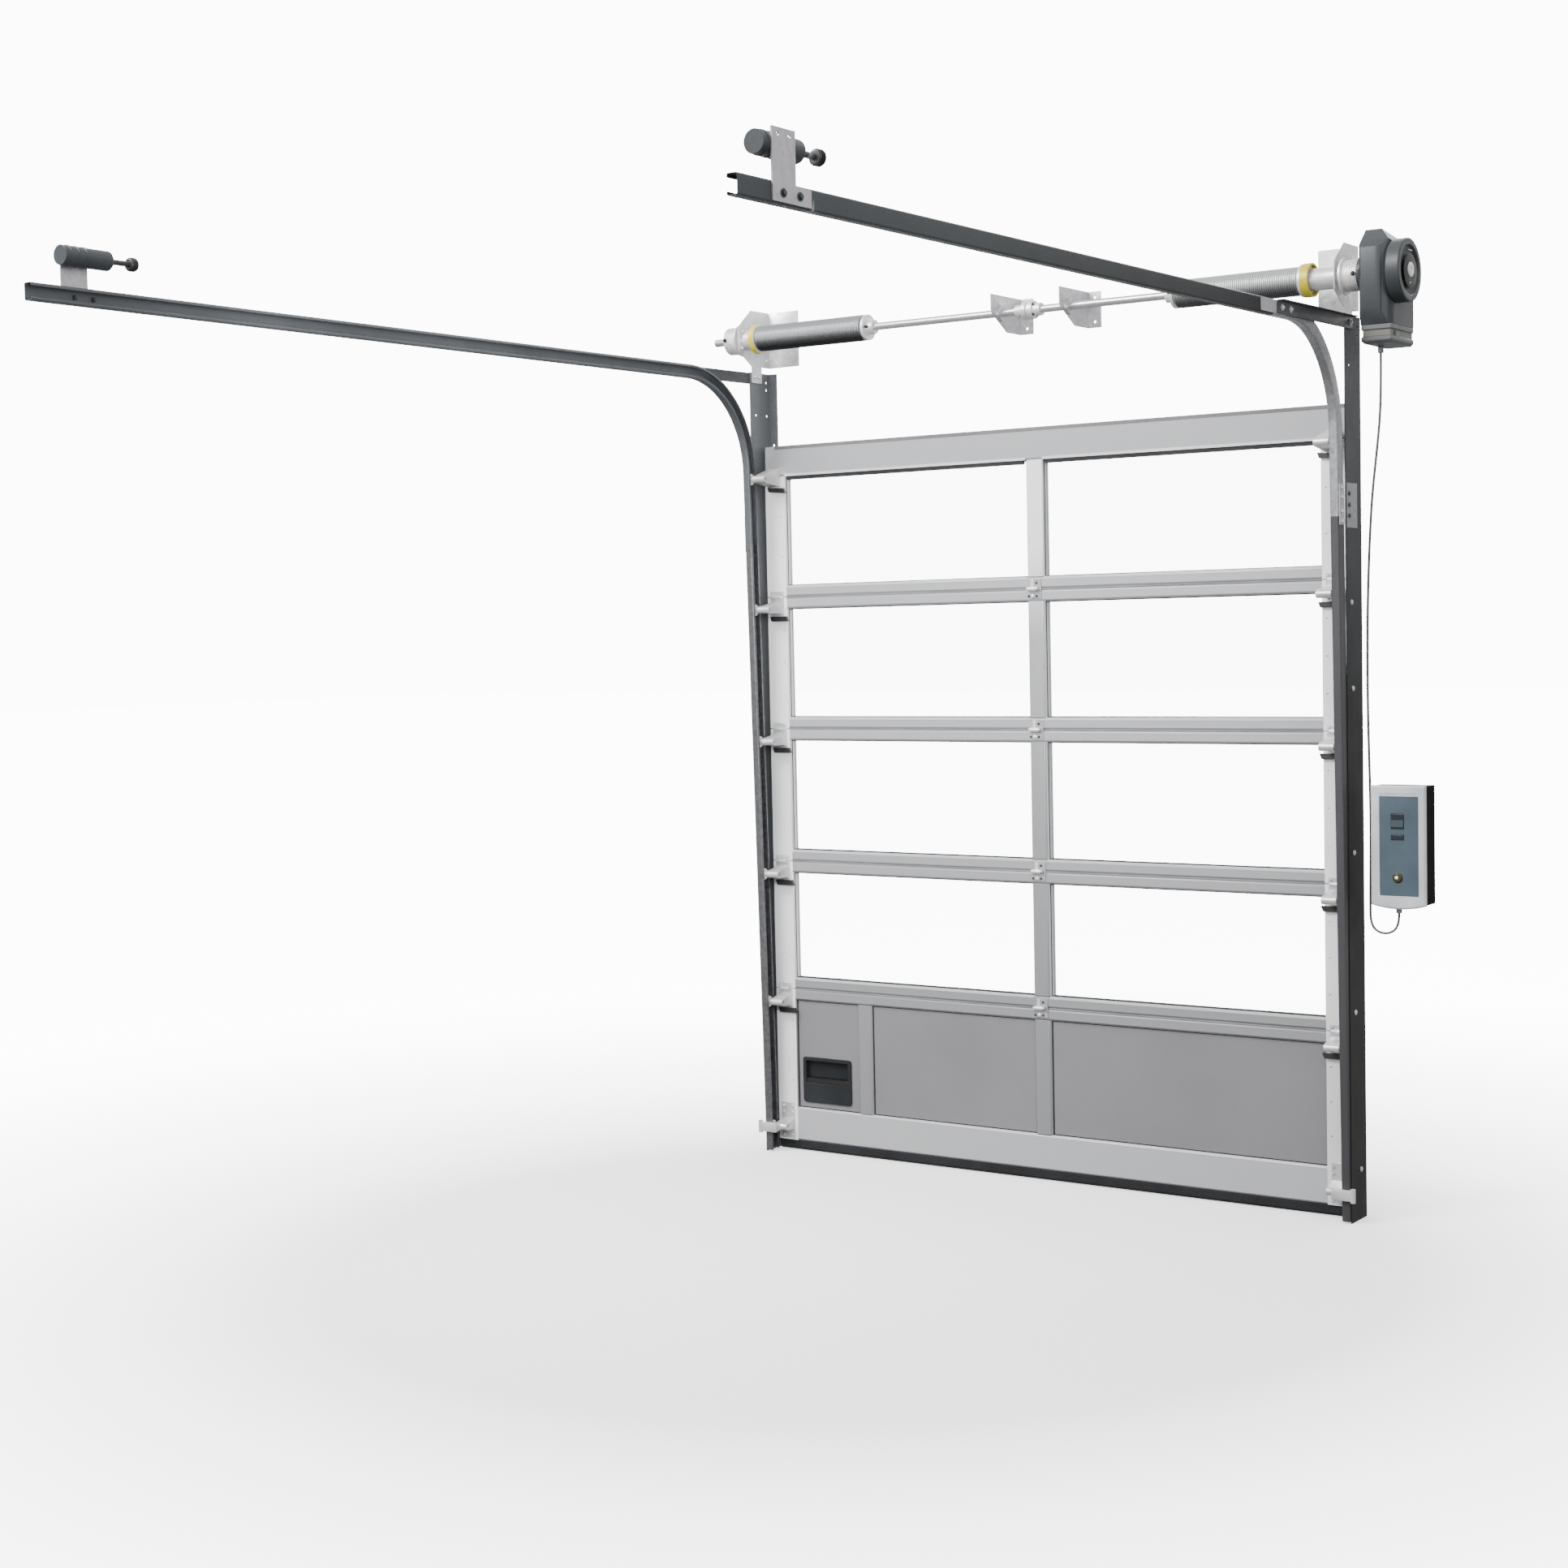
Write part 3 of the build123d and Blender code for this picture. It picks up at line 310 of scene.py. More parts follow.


# Tracks: channels rolled from galvanised strip, open towards the rollers. Most are coated slate grey, and the
# right bend is bare.
# The left tracks' lighter coat and the left upright's paler grey zinc are painted light, and the right high
# track's coat darkening towards the front is painted shade. Flat carriage bolts hold the upright tracks to the
# angles.
def galvanised(name, dark, light, rough=0.42, cells=80):
    """Hot-dip zinc: fine pale crystals, each with its own shade and gloss."""
    finish, tree, shader, place = new_finish(name, light, rough, 0.75)
    spangle = wired(tree, "ShaderNodeTexVoronoi", {"Vector": place, "Scale": cells})
    shade = wired(tree, "ShaderNodeSeparateColor", {"Color": spangle.outputs["Color"]})
    tint(tree, shader, shade.outputs["Red"], dark, light, 0.1, 0.9)
    polish(tree, shader, shade.outputs["Green"], rough - 0.1, rough + 0.1)
    emboss(tree, shader, mottle(tree, place, 300), 0.0002, 0.2)
    return finish


bare_track = galvanised("bare_track", (0.3, 0.305, 0.32), (0.36, 0.365, 0.38), 0.36, 90)
# A paler grey zinc for the left upright, a lit copy of the track coat: painted light.
lit_upright_zinc = galvanised("lit_upright_zinc", (0.13, 0.133, 0.14), (0.16, 0.163, 0.17), 0.4, 90)
lilac_slate = coated_steel("lilac_slate", (0.05, 0.049, 0.055))
# The right high track's coat darkens towards the front: painted shade.
shade_ramp_rear_slate = shade_ramp_coat("shade_ramp_rear_slate", "Y", -2.4, -0.6, (0.05, 0.056, 0.061), (0.014, 0.016, 0.018))
track_edge = 0.0006
dressed("vertical_track_left", lit_upright_zinc, track_edge)
dressed("vertical_track_right", lilac_slate, track_edge)
dressed("horizontal_track_left", lit_track_slate, track_edge)
dressed("horizontal_track_right", shade_ramp_rear_slate, track_edge)
dressed("curved_track_left", lit_track_slate, track_edge)
dressed("curved_track_right", bare_track, track_edge)


def new_tree(name, sockets):
    """A geometry tree with named inputs; returns it with what its input gives, and its output node."""
    tree = bpy.data.node_groups.new(name, "GeometryNodeTree")
    tree.interface.new_socket("Geometry", in_out="INPUT", socket_type="NodeSocketGeometry")
    for label, kind in sockets:
        tree.interface.new_socket(label, in_out="INPUT", socket_type="NodeSocket" + kind)
    tree.interface.new_socket("Geometry", in_out="OUTPUT", socket_type="NodeSocketGeometry")
    return tree, tree.nodes.new("NodeGroupInput").outputs, tree.nodes.new("NodeGroupOutput")


def close_tree(tree, given, result, shape):
    """End a tree: its shape made real geometry and given its finish."""
    solid = wired(tree, "GeometryNodeRealizeInstances", {"Geometry": shape})
    coat = {"Geometry": solid.outputs[0], "Material": given["Finish"]}
    feed(tree, result, {0: wired(tree, "GeometryNodeSetMaterial", coat).outputs[0]})
    return tree


def grow(name, tree, values, host_mesh, body):
    """Run a geometry tree on a host mesh and keep its result as a plain mesh that moves with a body."""
    piece = placed(name, host_mesh)
    growth = piece.modifiers.new(name, "NODES")
    growth.node_group = tree
    for item in tree.interface.items_tree:
        if item.in_out == "INPUT" and item.name in values:
            growth[item.identifier] = values[item.name]
    bpy.context.view_layer.update()
    seen = piece.evaluated_get(bpy.context.evaluated_depsgraph_get())
    result = bpy.data.meshes.new_from_object(seen)
    piece.modifiers.remove(growth)
    piece.data = result
    smooth_faces(result)
    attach(piece, body)
    return piece


def fastener_tree():
    """Screws or bolts: a washer, a head with any number of sides and its bevelled crown, on every point."""
    tree, given, result = new_tree("fasteners", (
        ("Head Radius", "Float"), ("Head Height", "Float"), ("Sides", "Int"),
        ("Washer Radius", "Float"), ("Washer Height", "Float"), ("Turn", "Vector"), ("Finish", "Material"),
    ))

    def times(source, factor):
        return wired(tree, "ShaderNodeMath", {0: source, 1: factor}, operation="MULTIPLY").outputs[0]

    def lifted(shape, *heights):
        total = heights[0]
        for extra in heights[1:]:
            total = wired(tree, "ShaderNodeMath", {0: total, 1: extra}).outputs[0]
        rise = wired(tree, "ShaderNodeCombineXYZ", {"Z": total}).outputs[0]
        return wired(tree, "GeometryNodeTransform", {"Geometry": shape, "Translation": rise}).outputs[0]

    def drum(kind, **inputs):
        named = {label.replace("_", " "): source for label, source in inputs.items()}
        return wired(tree, kind, named).outputs["Mesh"]

    radius, height = given["Head Radius"], given["Head Height"]
    sides, rest = given["Sides"], given["Washer Height"]
    washer = drum("GeometryNodeMeshCylinder", Vertices=20, Radius=given["Washer Radius"], Depth=rest)
    head = drum("GeometryNodeMeshCylinder", Vertices=sides, Radius=radius, Depth=times(height, 0.7))
    crown = drum(
        "GeometryNodeMeshCone", Vertices=sides, Radius_Bottom=radius, Radius_Top=times(radius, 0.74),
        Depth=times(height, 0.3),
    )
    whole = tree.nodes.new("GeometryNodeJoinGeometry")
    feed(tree, whole, {0: lifted(washer, times(rest, 0.5))})
    feed(tree, whole, {0: lifted(head, rest, times(height, 0.35))})
    feed(tree, whole, {0: lifted(crown, rest, times(height, 0.7))})
    spread = wired(tree, "GeometryNodeInstanceOnPoints", {
        "Points": given["Geometry"], "Instance": whole.outputs[0], "Rotation": given["Turn"],
    })
    return close_tree(tree, given, result, spread.outputs[0])


fasteners = fastener_tree()
facing = {"+x": (0, math.pi / 2, 0), "-x": (0, -math.pi / 2, 0), "-y": (math.pi / 2, 0, 0)}


def fasten(name, places, way, finish, across=0.013, high=0.005, washer=0.02, sides=6, body="root"):
    """Screws or bolts at a list of places, all facing one way."""
    host = bpy.data.meshes.new(name)
    host.from_pydata([tuple(spot) for spot in places], [], [])
    values = {
        "Head Radius": across / 2, "Head Height": high, "Sides": sides, "Washer Radius": washer / 2,
        "Washer Height": 0.0015, "Turn": facing[way], "Finish": finish,
    }
    grow(name, fasteners, values, host, body)


def zinc_plate(name, colour=(0.68, 0.69, 0.71), rough=0.34):
    """Bright zinc plating: pale metal with soft bluish clouds and fine scratches."""
    finish, tree, shader, place = new_finish(name, colour, rough, 0.55)
    warm = (colour[0], colour[1] * 0.985, colour[2] * 0.96)
    tint(tree, shader, mottle(tree, place, 14), lighter(colour, 0.88), lighter(warm, 1.12))
    polish(tree, shader, mottle(tree, place, 60, (1, 1, 6)), rough - 0.08, rough + 0.12)
    emboss(tree, shader, mottle(tree, place, 500), 0.0001, 0.25)
    return finish


bright_zinc = zinc_plate("bright_zinc")
left_web_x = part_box("wall_angle_left")[0].x
right_web_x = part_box("wall_angle_right")[1].x
track_bolt_places = ((-0.085, 1.937), (-0.079, 1.671), (-0.080, 1.16), (-0.080, 0.66), (-0.045, 0.159))
for side, web_x, way in (("left", left_web_x, "-x"), ("right", right_web_x, "+x")):
    spots = [(web_x, y, z) for y, z in track_bolt_places]
    fasten("track_bolts_" + side, spots, way, bright_zinc, sides=16, high=0.003, washer=0.017)

# Front bars: two straight angles, coated like the tracks, that run from the tops of the wall angles back to the
# high tracks and brace the bends. One bolt holds each front end, and two hold each rear end.
dressed("front_bars", slate_coat, fold_round)
bars_low, bars_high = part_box("front_bars")
bar_web = 1.13
bar_bolts = ((bars_high.y - 0.02, 2.794), (bars_low.y + 0.03, 2.790), (bars_low.y + 0.09, 2.790))
for side, web_x, way in (("left", middle_x - bar_web, "-x"), ("right", middle_x + bar_web, "+x")):
    spots = [(web_x, y, z) for y, z in bar_bolts]
    fasten("bar_bolts_" + side, spots, way, bright_zinc)

# Splice plates: pale galvanised plates over the joints of the tracks, one low on each bend, with four bolts,
# and one at its rear end, welded on. The upright tracks lean away from the wall as they rise.
pale_galvanised = galvanised("pale_galvanised", (0.47, 0.462, 0.495), (0.54, 0.532, 0.565))
dressed("track_splices", pale_galvanised, 0.0006)
splice_low, splice_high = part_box("track_splices")
splice_rows = (2.185, 2.215, 2.258, 2.288)
track_foot_y = -0.105
track_lean = 0.021
for side, web_x, way in (("left", splice_low.x, "-x"), ("right", splice_high.x, "+x")):
    spots = [(web_x, track_foot_y - track_lean * z, z) for z in splice_rows]
    fasten("splice_bolts_" + side, spots, way, bright_zinc, 0.011, 0.004, 0.016)

# Rear hangers: galvanised plates that stand on the rear ends of the high tracks. Two bolts hold each foot to the
# track's web, and the two holes in the upper edge are free for the ceiling's strut.
dressed("rear_hangers", pale_galvanised, 0.0008)
hanger_low, hanger_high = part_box("rear_hangers")
foot_bolt_ys = (-3.022, -3.082)
foot_bolt_z = hanger_low.z + 0.019
foot_thick = 0.006
for side, outer_x, inner_x, out, inward in (
    ("left", hanger_low.x, hanger_low.x + foot_thick, "-x", "+x"),
    ("right", hanger_high.x, hanger_high.x - foot_thick, "+x", "-x"),
):
    spots = [(outer_x, y, foot_bolt_z) for y in foot_bolt_ys]
    fasten("hanger_bolts_" + side, spots, out, slate_coat)
    spots = [(inner_x, y, foot_bolt_z) for y in foot_bolt_ys]
    fasten("hanger_nuts_" + side, spots, inward, slate_coat, 0.012, 0.006, 0.014)


# Spring buffers: slate grey barrels on the inner side of the hangers. A dark rod with a ribbed rubber knob slides
# into each one when the open leaf runs against it.
def turned(body, profile, centre, axis, sides=32):
    """Add a turned shape to a mesh in progress: (along, radius) pairs about an axis through a centre."""
    along = {"x": Vector((1, 0, 0)), "y": Vector((0, 1, 0)), "z": Vector((0, 0, 1))}[axis]
    first = Vector((0, 1, 0)) if axis == "x" else Vector((1, 0, 0))
    second = along.cross(first)
    rings = []
    for reach, radius in profile:
        ring_middle = Vector(centre) + along * reach
        if radius == 0:
            rings.append([body.verts.new(ring_middle)])
            continue
        turns = [2 * math.pi * step / sides for step in range(sides)]
        rings.append([
            body.verts.new(ring_middle + first * radius * math.cos(t) + second * radius * math.sin(t))
            for t in turns
        ])
    for near, far in zip(rings, rings[1:]):
        for step in range(sides):
            nxt = (step + 1) % sides
            corners = [near[step % len(near)], near[nxt % len(near)], far[nxt % len(far)], far[step % len(far)]]
            corners = list(dict.fromkeys(corners))
            if len(corners) > 2:
                body.faces.new(corners)


def block(body, low, high):
    """Add a block to a mesh in progress, between two opposite corners."""
    xs, ys, zs = (sorted(pair) for pair in zip(low, high))
    corners = [body.verts.new((x, y, z)) for x in xs for y in ys for z in zs]
    for face in ((0, 1, 3, 2), (4, 6, 7, 5), (0, 4, 5, 1), (2, 3, 7, 6), (0, 2, 6, 4), (1, 5, 7, 3)):
        body.faces.new([corners[i] for i in face])


def finished(name, body, finish, width=0.0, rides="root"):
    """Turn a mesh in progress into a piece with a finish and rounded edges that moves with a body."""
    bmesh.ops.recalc_face_normals(body, faces=body.faces)
    mesh = bpy.data.meshes.new(name)
    body.to_mesh(mesh)
    body.free()
    mesh.materials.append(finish)
    smooth_faces(mesh)
    piece = placed(name, mesh)
    if width:
        soften(piece, width)
    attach(piece, rides)


def built(name, boxes, finish, width=0.0, rides="root"):
    """A piece made of blocks, each given by two opposite corners."""
    body = bmesh.new()
    for low, high in boxes:
        block(body, low, high)
    finished(name, body, finish, width, rides)


def spun(name, profile, centres, axis, sides, finish, width=0.0, rides="root"):
    """A piece turned to one profile about each of some centres."""
    body = bmesh.new()
    for centre in centres:
        turned(body, profile, centre, axis, sides)
    finished(name, body, finish, width, rides)


def ridge(half, flank, base, proud):
    """The profile of a rounded ridge about a turned part: its half width, its flanks, its foot and its height."""
    return ((-half, base), (-flank, proud), (flank, proud), (half, base))


def moulded(name, colour, rough=0.5, grain=900, shine=0.5):
    """Moulded plastic or rubber: one colour with a fine grain and a few paler, duller patches."""
    finish, tree, shader, place = new_finish(name, colour, rough)
    feed(tree, shader, {"Specular IOR Level": shine})
    tint(tree, shader, mottle(tree, place, 5), lighter(colour, 0.85), lighter(colour, 1.25))
    polish(tree, shader, mottle(tree, place, 25), rough - 0.08, rough + 0.1)
    emboss(tree, shader, mottle(tree, place, grain, detail=1.0), 0.0003, 0.35)
    return finish


rubber_black = moulded("rubber_black", (0.017, 0.018, 0.02), 0.6, shine=0.25)
dark_rod = coated_steel("dark_rod", (0.03, 0.031, 0.034), 0.35)
dressed("buffer_housings", slate_coat, 0.0008)
barrel_low, barrel_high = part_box("buffer_housings")
barrel_r = (barrel_high.z - barrel_low.z) / 2
barrel_z = (barrel_high.z + barrel_low.z) / 2
band_places = (0.02, 0.045, 0.07)
rib_places = (0.007, 0.0125, 0.018)
proud = 0.0015
buried = 0.001
band = ridge(0.005, 0.003, barrel_r - buried, barrel_r + proud)
for side, barrel_x in (("left", barrel_low.x + barrel_r), ("right", barrel_high.x - barrel_r)):
    spots = [(barrel_x, barrel_low.y + reach, barrel_z) for reach in band_places]
    spun("buffer_bands_" + side, band, spots, "y", 40, slate_coat)
    rod = "buffer_rod_" + side
    dressed(rod, dark_rod)
    rod_low, rod_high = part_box(rod)
    knob_r = (rod_high.x - rod_low.x) / 2
    rib = ridge(0.0022, 0.001, knob_r - buried, knob_r + proud)
    spots = [(barrel_x, rod_high.y - reach, barrel_z) for reach in rib_places]
    spun("knob_ribs_" + side, rib, spots, "y", 40, rubber_black, rides=rod)


# Angle splice: a short galvanised plate on the right wall angle's outer face, level with the low track joint,
# with three square bolt heads.
patch_zinc = galvanised("patch_zinc", (0.29, 0.3, 0.31), (0.33, 0.34, 0.35))
patch_face_x = right_web_x + 0.0012
patch_front_y, patch_rear_y = -0.119, -0.036
patch_foot, patch_top = 2.166, 2.303
patch_bolt_zs = (2.203, 2.236, 2.271)
patch_bolt_y = -0.099
patch = ((right_web_x, patch_front_y, patch_foot), (patch_face_x, patch_rear_y, patch_top))
built("angle_splice", [patch], patch_zinc, 0.0004)
spots = [(patch_face_x, patch_bolt_y, z) for z in patch_bolt_zs]
fasten("angle_splice_bolts", spots, "+x", slate_coat, 0.016, 0.002, 0.006, 4)


# Leaf bars: the rails and stiles of the five sections, extruded aluminium with a satin silver anodised face. The
# long faces show a fine grain along the bar, and their silver is made lighter and darker by height as painted
# light and shade. Each end stile wears a pale folded steel cover.
def anodised(name, colour, stretch, rough=0.4, light_and_shade=()):
    """Satin anodised aluminium: a faint grain along the bar, soft clouds, and, where given, a colour made lighter
    or darker with height as painted light and shade.
    """
    finish, tree, shader, place = new_finish(name, colour, rough, 0.3)
    clouds = mottle(tree, place, 1.5)
    if light_and_shade:
        rise = shifted(tree, clouds, 0.03, along(tree, place, "Z", 0, leaf_tall))
        (low, first), *between, (high, last) = light_and_shade
        stops = tint(tree, shader, rise, lighter(colour, first), lighter(colour, last), low, high)
        for height, share in between:
            stops.new(height).color = (*lighter(colour, share), 1)
    else:
        tint(tree, shader, clouds, lighter(colour, 0.93), lighter(colour, 1.07))
    grain = mottle(tree, place, 500, stretch, 2.0)
    polish(tree, shader, grain, rough - 0.06, rough + 0.08)
    emboss(tree, shader, grain, 0.0001, 0.15)
    return finish


sections = (1, 2, 3, 4, 5)
windowed = sections[1:]
rails = {number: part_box(f"section_{number}_rails") for number in sections}
stiles = {number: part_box(f"section_{number}_stiles") for number in sections}
leaf_tall = rails[5][1].z
silver = (0.355, 0.36, 0.373)
# Painted light and shade: how much lighter or darker the rails' and the stiles' silver is at each share of the
# leaf's height.
rail_light_and_shade = (
    (0.08, 1.4), (0.14, 1.25), (0.22, 0.84), (0.32, 0.84), (0.42, 1.04), (0.6, 1.18), (0.8, 1.2), (0.95, 1.03),
)
stile_light_and_shade = ((0.08, 0.78), (0.3, 0.82), (0.46, 0.9), (0.6, 1.05), (0.74, 1.16), (0.86, 2.6))
grain_x = (0.02, 1, 1)
grain_z = (1, 1, 0.02)
rail_silver = anodised("rail_silver", silver, grain_x, light_and_shade=rail_light_and_shade)
stile_silver = anodised("stile_silver", lighter(silver, 0.94), grain_z, light_and_shade=stile_light_and_shade)
bar_edge = 0.001
for number in sections:
    dressed(f"section_{number}_rails", rail_silver, bar_edge)
    dressed(f"section_{number}_stiles", stile_silver, bar_edge)

cover_white = coated_steel("cover_white", (0.86, 0.86, 0.88), 0.38)
cover_thick = 0.0012
cover_wide = 0.083
cover_return = 0.034
reveal_light_deep = 0.038
rivet_inset = 0.014
rivet_pitch = 0.11
cover_face_y = leaf_front_y - cover_thick
for side, way in (("left", -1), ("right", 1)):
    covers_and_reveal_light = []
    rivets = []
    for number in sections:
        rails_low, rails_high = rails[number]
        stiles_low, stiles_high = stiles[number]
        foot = rails_low.z
        top = stiles_high.z if number == 5 else rails_high.z
        end_x = rails_low.x if side == "left" else rails_high.x
        inner_x = end_x - way * cover_wide
        outer_x = end_x + way * cover_thick
        reveal_light_x = inner_x - way * cover_thick
        covers_and_reveal_light.append(((inner_x, cover_face_y, foot), (outer_x, leaf_front_y, top)))
        covers_and_reveal_light.append(((end_x, leaf_front_y, foot), (outer_x, leaf_front_y + cover_return, top)))
        # In each windowed section a white sheet runs on from the cover through the whole depth of the stile's
        # reveal: painted light over the reveal's shade.
        if number in windowed:
            reveal_light_y = leaf_front_y + reveal_light_deep
            covers_and_reveal_light.append(((inner_x, cover_face_y, stiles_low.z), (reveal_light_x, reveal_light_y, stiles_high.z)))
        count = int((top - foot) / rivet_pitch)
        for step in range(1, count):
            rivets.append((inner_x + way * rivet_inset, cover_face_y, foot + (top - foot) * step / count))
    built("end_covers_and_reveal_light_" + side, covers_and_reveal_light, cover_white, 0.0006)
    fasten("cover_rivets_" + side, rivets, "-y", bright_zinc, 0.006, 0.0015, 0.007, 12)

# Joint seals: grey rubber strips in the 3 mm gaps between the sections. They lie a little back from the leaf's
# faces and stop just short of its ends.
joint_grey = moulded("joint_grey", (0.25, 0.247, 0.258), 0.6)
strip_inset = 0.002
strip_sunk = 0.0012
joint_strips = [
    (
        (leaf_low.x + strip_inset, leaf_front_y + strip_sunk, rails[lower][1].z),
        (leaf_high.x - strip_inset, leaf_back_y - strip_sunk, rails[upper][0].z),
    )
    for lower, upper in zip(sections, windowed)
]
built("joint_strips", joint_strips, joint_grey)

# Glazing beads: pale aluminium lips snapped along the foot of every pane and under the top rail. A thin pale sheet
# on the mullion's right reveal is painted light over the reveal's shade, and a dark lip of the top seal runs along
# the leaf's upper edge.
bead_silver = anodised("bead_silver", (0.66, 0.67, 0.68), grain_x, 0.36)
bead_high = 0.009
bead_proud = 0.0009
mullion_half = 0.032
openings = (
    (leaf_low.x + cover_wide, middle_x - mullion_half),
    (middle_x + mullion_half, leaf_high.x - cover_wide),
)
bead_feet = {number: [stiles[number][0].z - bead_high] for number in windowed}
bead_feet[5].append(stiles[5][1].z)
beads = [
    ((left_x, leaf_front_y - bead_proud, foot), (right_x, leaf_front_y, foot + bead_high))
    for number in windowed for left_x, right_x in openings for foot in bead_feet[number]
]
built("glazing_beads", beads, bead_silver, 0.0004)

# A pale sheet on the mullion's right reveal, where it lies in shade: painted light.
reveal_x = middle_x + mullion_half
reveal_light_thick = 0.0012
reveal_light_sheets = [
    ((reveal_x, leaf_front_y, stiles[number][0].z), (reveal_x + reveal_light_thick, leaf_back_y, stiles[number][1].z))
    for number in windowed
]
built("mullion_reveal_light", reveal_light_sheets, bead_silver, 0.0002)

lip_purple = coated_steel("lip_purple", (0.13, 0.122, 0.135), 0.45)
lip_high = 0.012
top_lip = (
    (leaf_low.x + cover_wide * 0.5, leaf_front_y - 0.0014, leaf_tall - lip_high),
    (leaf_high.x - 0.004, leaf_front_y + 0.001, leaf_tall),
)
built("top_seal_lip", [top_lip], lip_purple, 0.0004)

# Panes: eight clear acrylic double panes, 16 mm thick, held in the bars by black rubber gaskets. Each gasket lines
# the reveal round its pane on both faces. Under the top rail a wider black strip is partly gasket and partly
# painted shade under the rail.
clear_acrylic, tree, shader, place = new_finish("clear_acrylic", (0.9, 0.95, 0.96), 0.08)
polish(tree, shader, mottle(tree, place, 4), 0.04, 0.12)
feed(tree, shader, {"Alpha": 0.1, "IOR": 1.49})
dressed("window_panes", clear_acrylic)
pane_low, pane_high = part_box("window_panes")
gasket_wide = 0.003
gasket_reach = 0.0022
gasket_buried = 0.0004
top_strip_high = 0.013
top_strip_proud = 0.0095
top_strip_inset = 0.009


def add_gaskets(body, span, low_z, high_z):
    """Line an opening with a mitred gasket on each face of its pane."""
    x0, x1 = span
    for face_y, way in ((pane_low.y, -1), (pane_high.y, 1)):
        edge_y = face_y + way * gasket_reach
        section = (
            (-gasket_buried, face_y), (gasket_wide, face_y), (gasket_wide * 0.8, face_y + way * 0.002),
            (0.0012, edge_y), (-gasket_buried, edge_y),
        )
        rings = []
        for inset, y in section:
            left_x, right_x, foot, top = x0 + inset, x1 - inset, low_z + inset, high_z - inset
            corners = ((left_x, foot), (right_x, foot), (right_x, top), (left_x, top))
            rings.append([body.verts.new((x, y, z)) for x, z in corners])
        rings.append(rings[0])
        for near, far in zip(rings, rings[1:]):
            for corner in range(4):
                after = (corner + 1) % 4
                body.faces.new((near[corner], near[after], far[after], far[corner]))


gaskets = bmesh.new()
for number in windowed:
    foot, top = stiles[number][0].z, stiles[number][1].z
    for span in openings:
        add_gaskets(gaskets, span, foot, top)
        if number == 5:
            # The wide black strip under the top rail of section 5: partly gasket, partly painted shade under the
            # rail.
            block(
                gaskets,
                (span[0] + top_strip_inset, pane_low.y - top_strip_proud, top - top_strip_high),
                (span[1] - top_strip_inset, pane_low.y, top),
            )
finished("pane_gaskets_and_top_shade", gaskets, rubber_black)

# Infill panels: three sheets of warm grey steel over foam in the bottom section, with a fine stucco press. Black
# gaskets line the reveals, and the left panel is cut out for the pull handle.
warm_grey = (0.186, 0.181, 0.19)
stucco_sheet, tree, shader, place = new_finish("stucco_sheet", warm_grey, 0.5, 0.05)
tint(tree, shader, mottle(tree, place, 1.6), lighter(warm_grey, 0.94), lighter(warm_grey, 1.08))
polish(tree, shader, mottle(tree, place, 40), 0.45, 0.6)
emboss(tree, shader, mottle(tree, place, 260, detail=1.5), 0.0004, 0.25)
dressed("infill_panels", stucco_sheet)
sub_mullion_x = middle_x - 0.725
sub_mullion_half = 0.03
(left_end, left_inner), right_opening = openings
panel_openings = (
    (left_end, sub_mullion_x - sub_mullion_half), (sub_mullion_x + sub_mullion_half, left_inner), right_opening,
)
panel_gaskets = bmesh.new()
for span in panel_openings:
    add_gaskets(panel_gaskets, span, stiles[1][0].z, stiles[1][1].z)
finished("panel_gaskets", panel_gaskets, rubber_black)

# Pull handle: a black moulded cup set in the left panel, open above and with a deeper slot for the fingers along
# its foot.
# A near-black block in the slot is painted shade, the dark deep in the slot.
handle_black = moulded("handle_black", (0.018, 0.02, 0.022), 0.45, 1200, 0.2)
# Near black for the shade deep in the finger slot: painted shade.
slot_shade_black = moulded("slot_shade_black", (0.003, 0.003, 0.003), 0.7)
dressed("pull_handle", handle_black, 0.0012)
handle_low, handle_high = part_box("pull_handle")
slot_inset = 0.014
slot_near, slot_far = 0.003, 0.0295
slot_foot, slot_top = 0.0705, 0.0865
finger_slot_shade = (
    (handle_low.x + slot_inset, handle_low.y + slot_near, handle_low.z + slot_foot),
    (handle_high.x - slot_inset, handle_low.y + slot_far, handle_low.z + slot_top),
)
built("finger_slot_shade", [finger_slot_shade], slot_shade_black, 0.0004)

# Bottom seal: a black rubber loop under the leaf, held in the bottom rail and standing on the floor. Three fine
# ribs run along its face.
dressed("bottom_seal", rubber_black)
seal_low, seal_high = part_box("bottom_seal")
rib_half = 0.0012
rib_proud = 0.001
seal_ribs = [
    (
        (seal_low.x, seal_low.y - rib_proud, seal_low.z + height - rib_half),
        (seal_high.x, seal_low.y + rib_proud, seal_low.z + height + rib_half),
    )
    for height in (0.017, 0.023, 0.029)
]
built("seal_ribs", seal_ribs, rubber_black, 0.0004)

# Hinges: zinc-plated steel over each joint. The mullion's is a small plate with three dark screws and a white
# bowl over its pin. Those on the end stiles are wider leaves, held by four hexagon washer screws.
joint_heights = [(rails[lower][1].z + rails[upper][0].z) / 2 for lower, upper in zip(sections, windowed)]
hinge_silver = zinc_plate("hinge_silver", (0.43, 0.435, 0.45), 0.4)
hinge_white = zinc_plate("hinge_white", (0.86, 0.86, 0.87), 0.36)
dressed("centre_hinges", hinge_silver, 0.0005)
plate_face_y = leaf_front_y - 0.003
hinge_x = middle_x - 0.010
stub_half = 0.006
stub_foot, stub_top = 0.008, 0.0315
stub_proud = 0.004
bowl_proud = 0.0055
bowl = ((-0.021, 0.0), (-0.02, 0.0055), (-0.012, 0.0078), (0.012, 0.0078), (0.02, 0.0055), (0.021, 0.0))
hinge_bowls = bmesh.new()
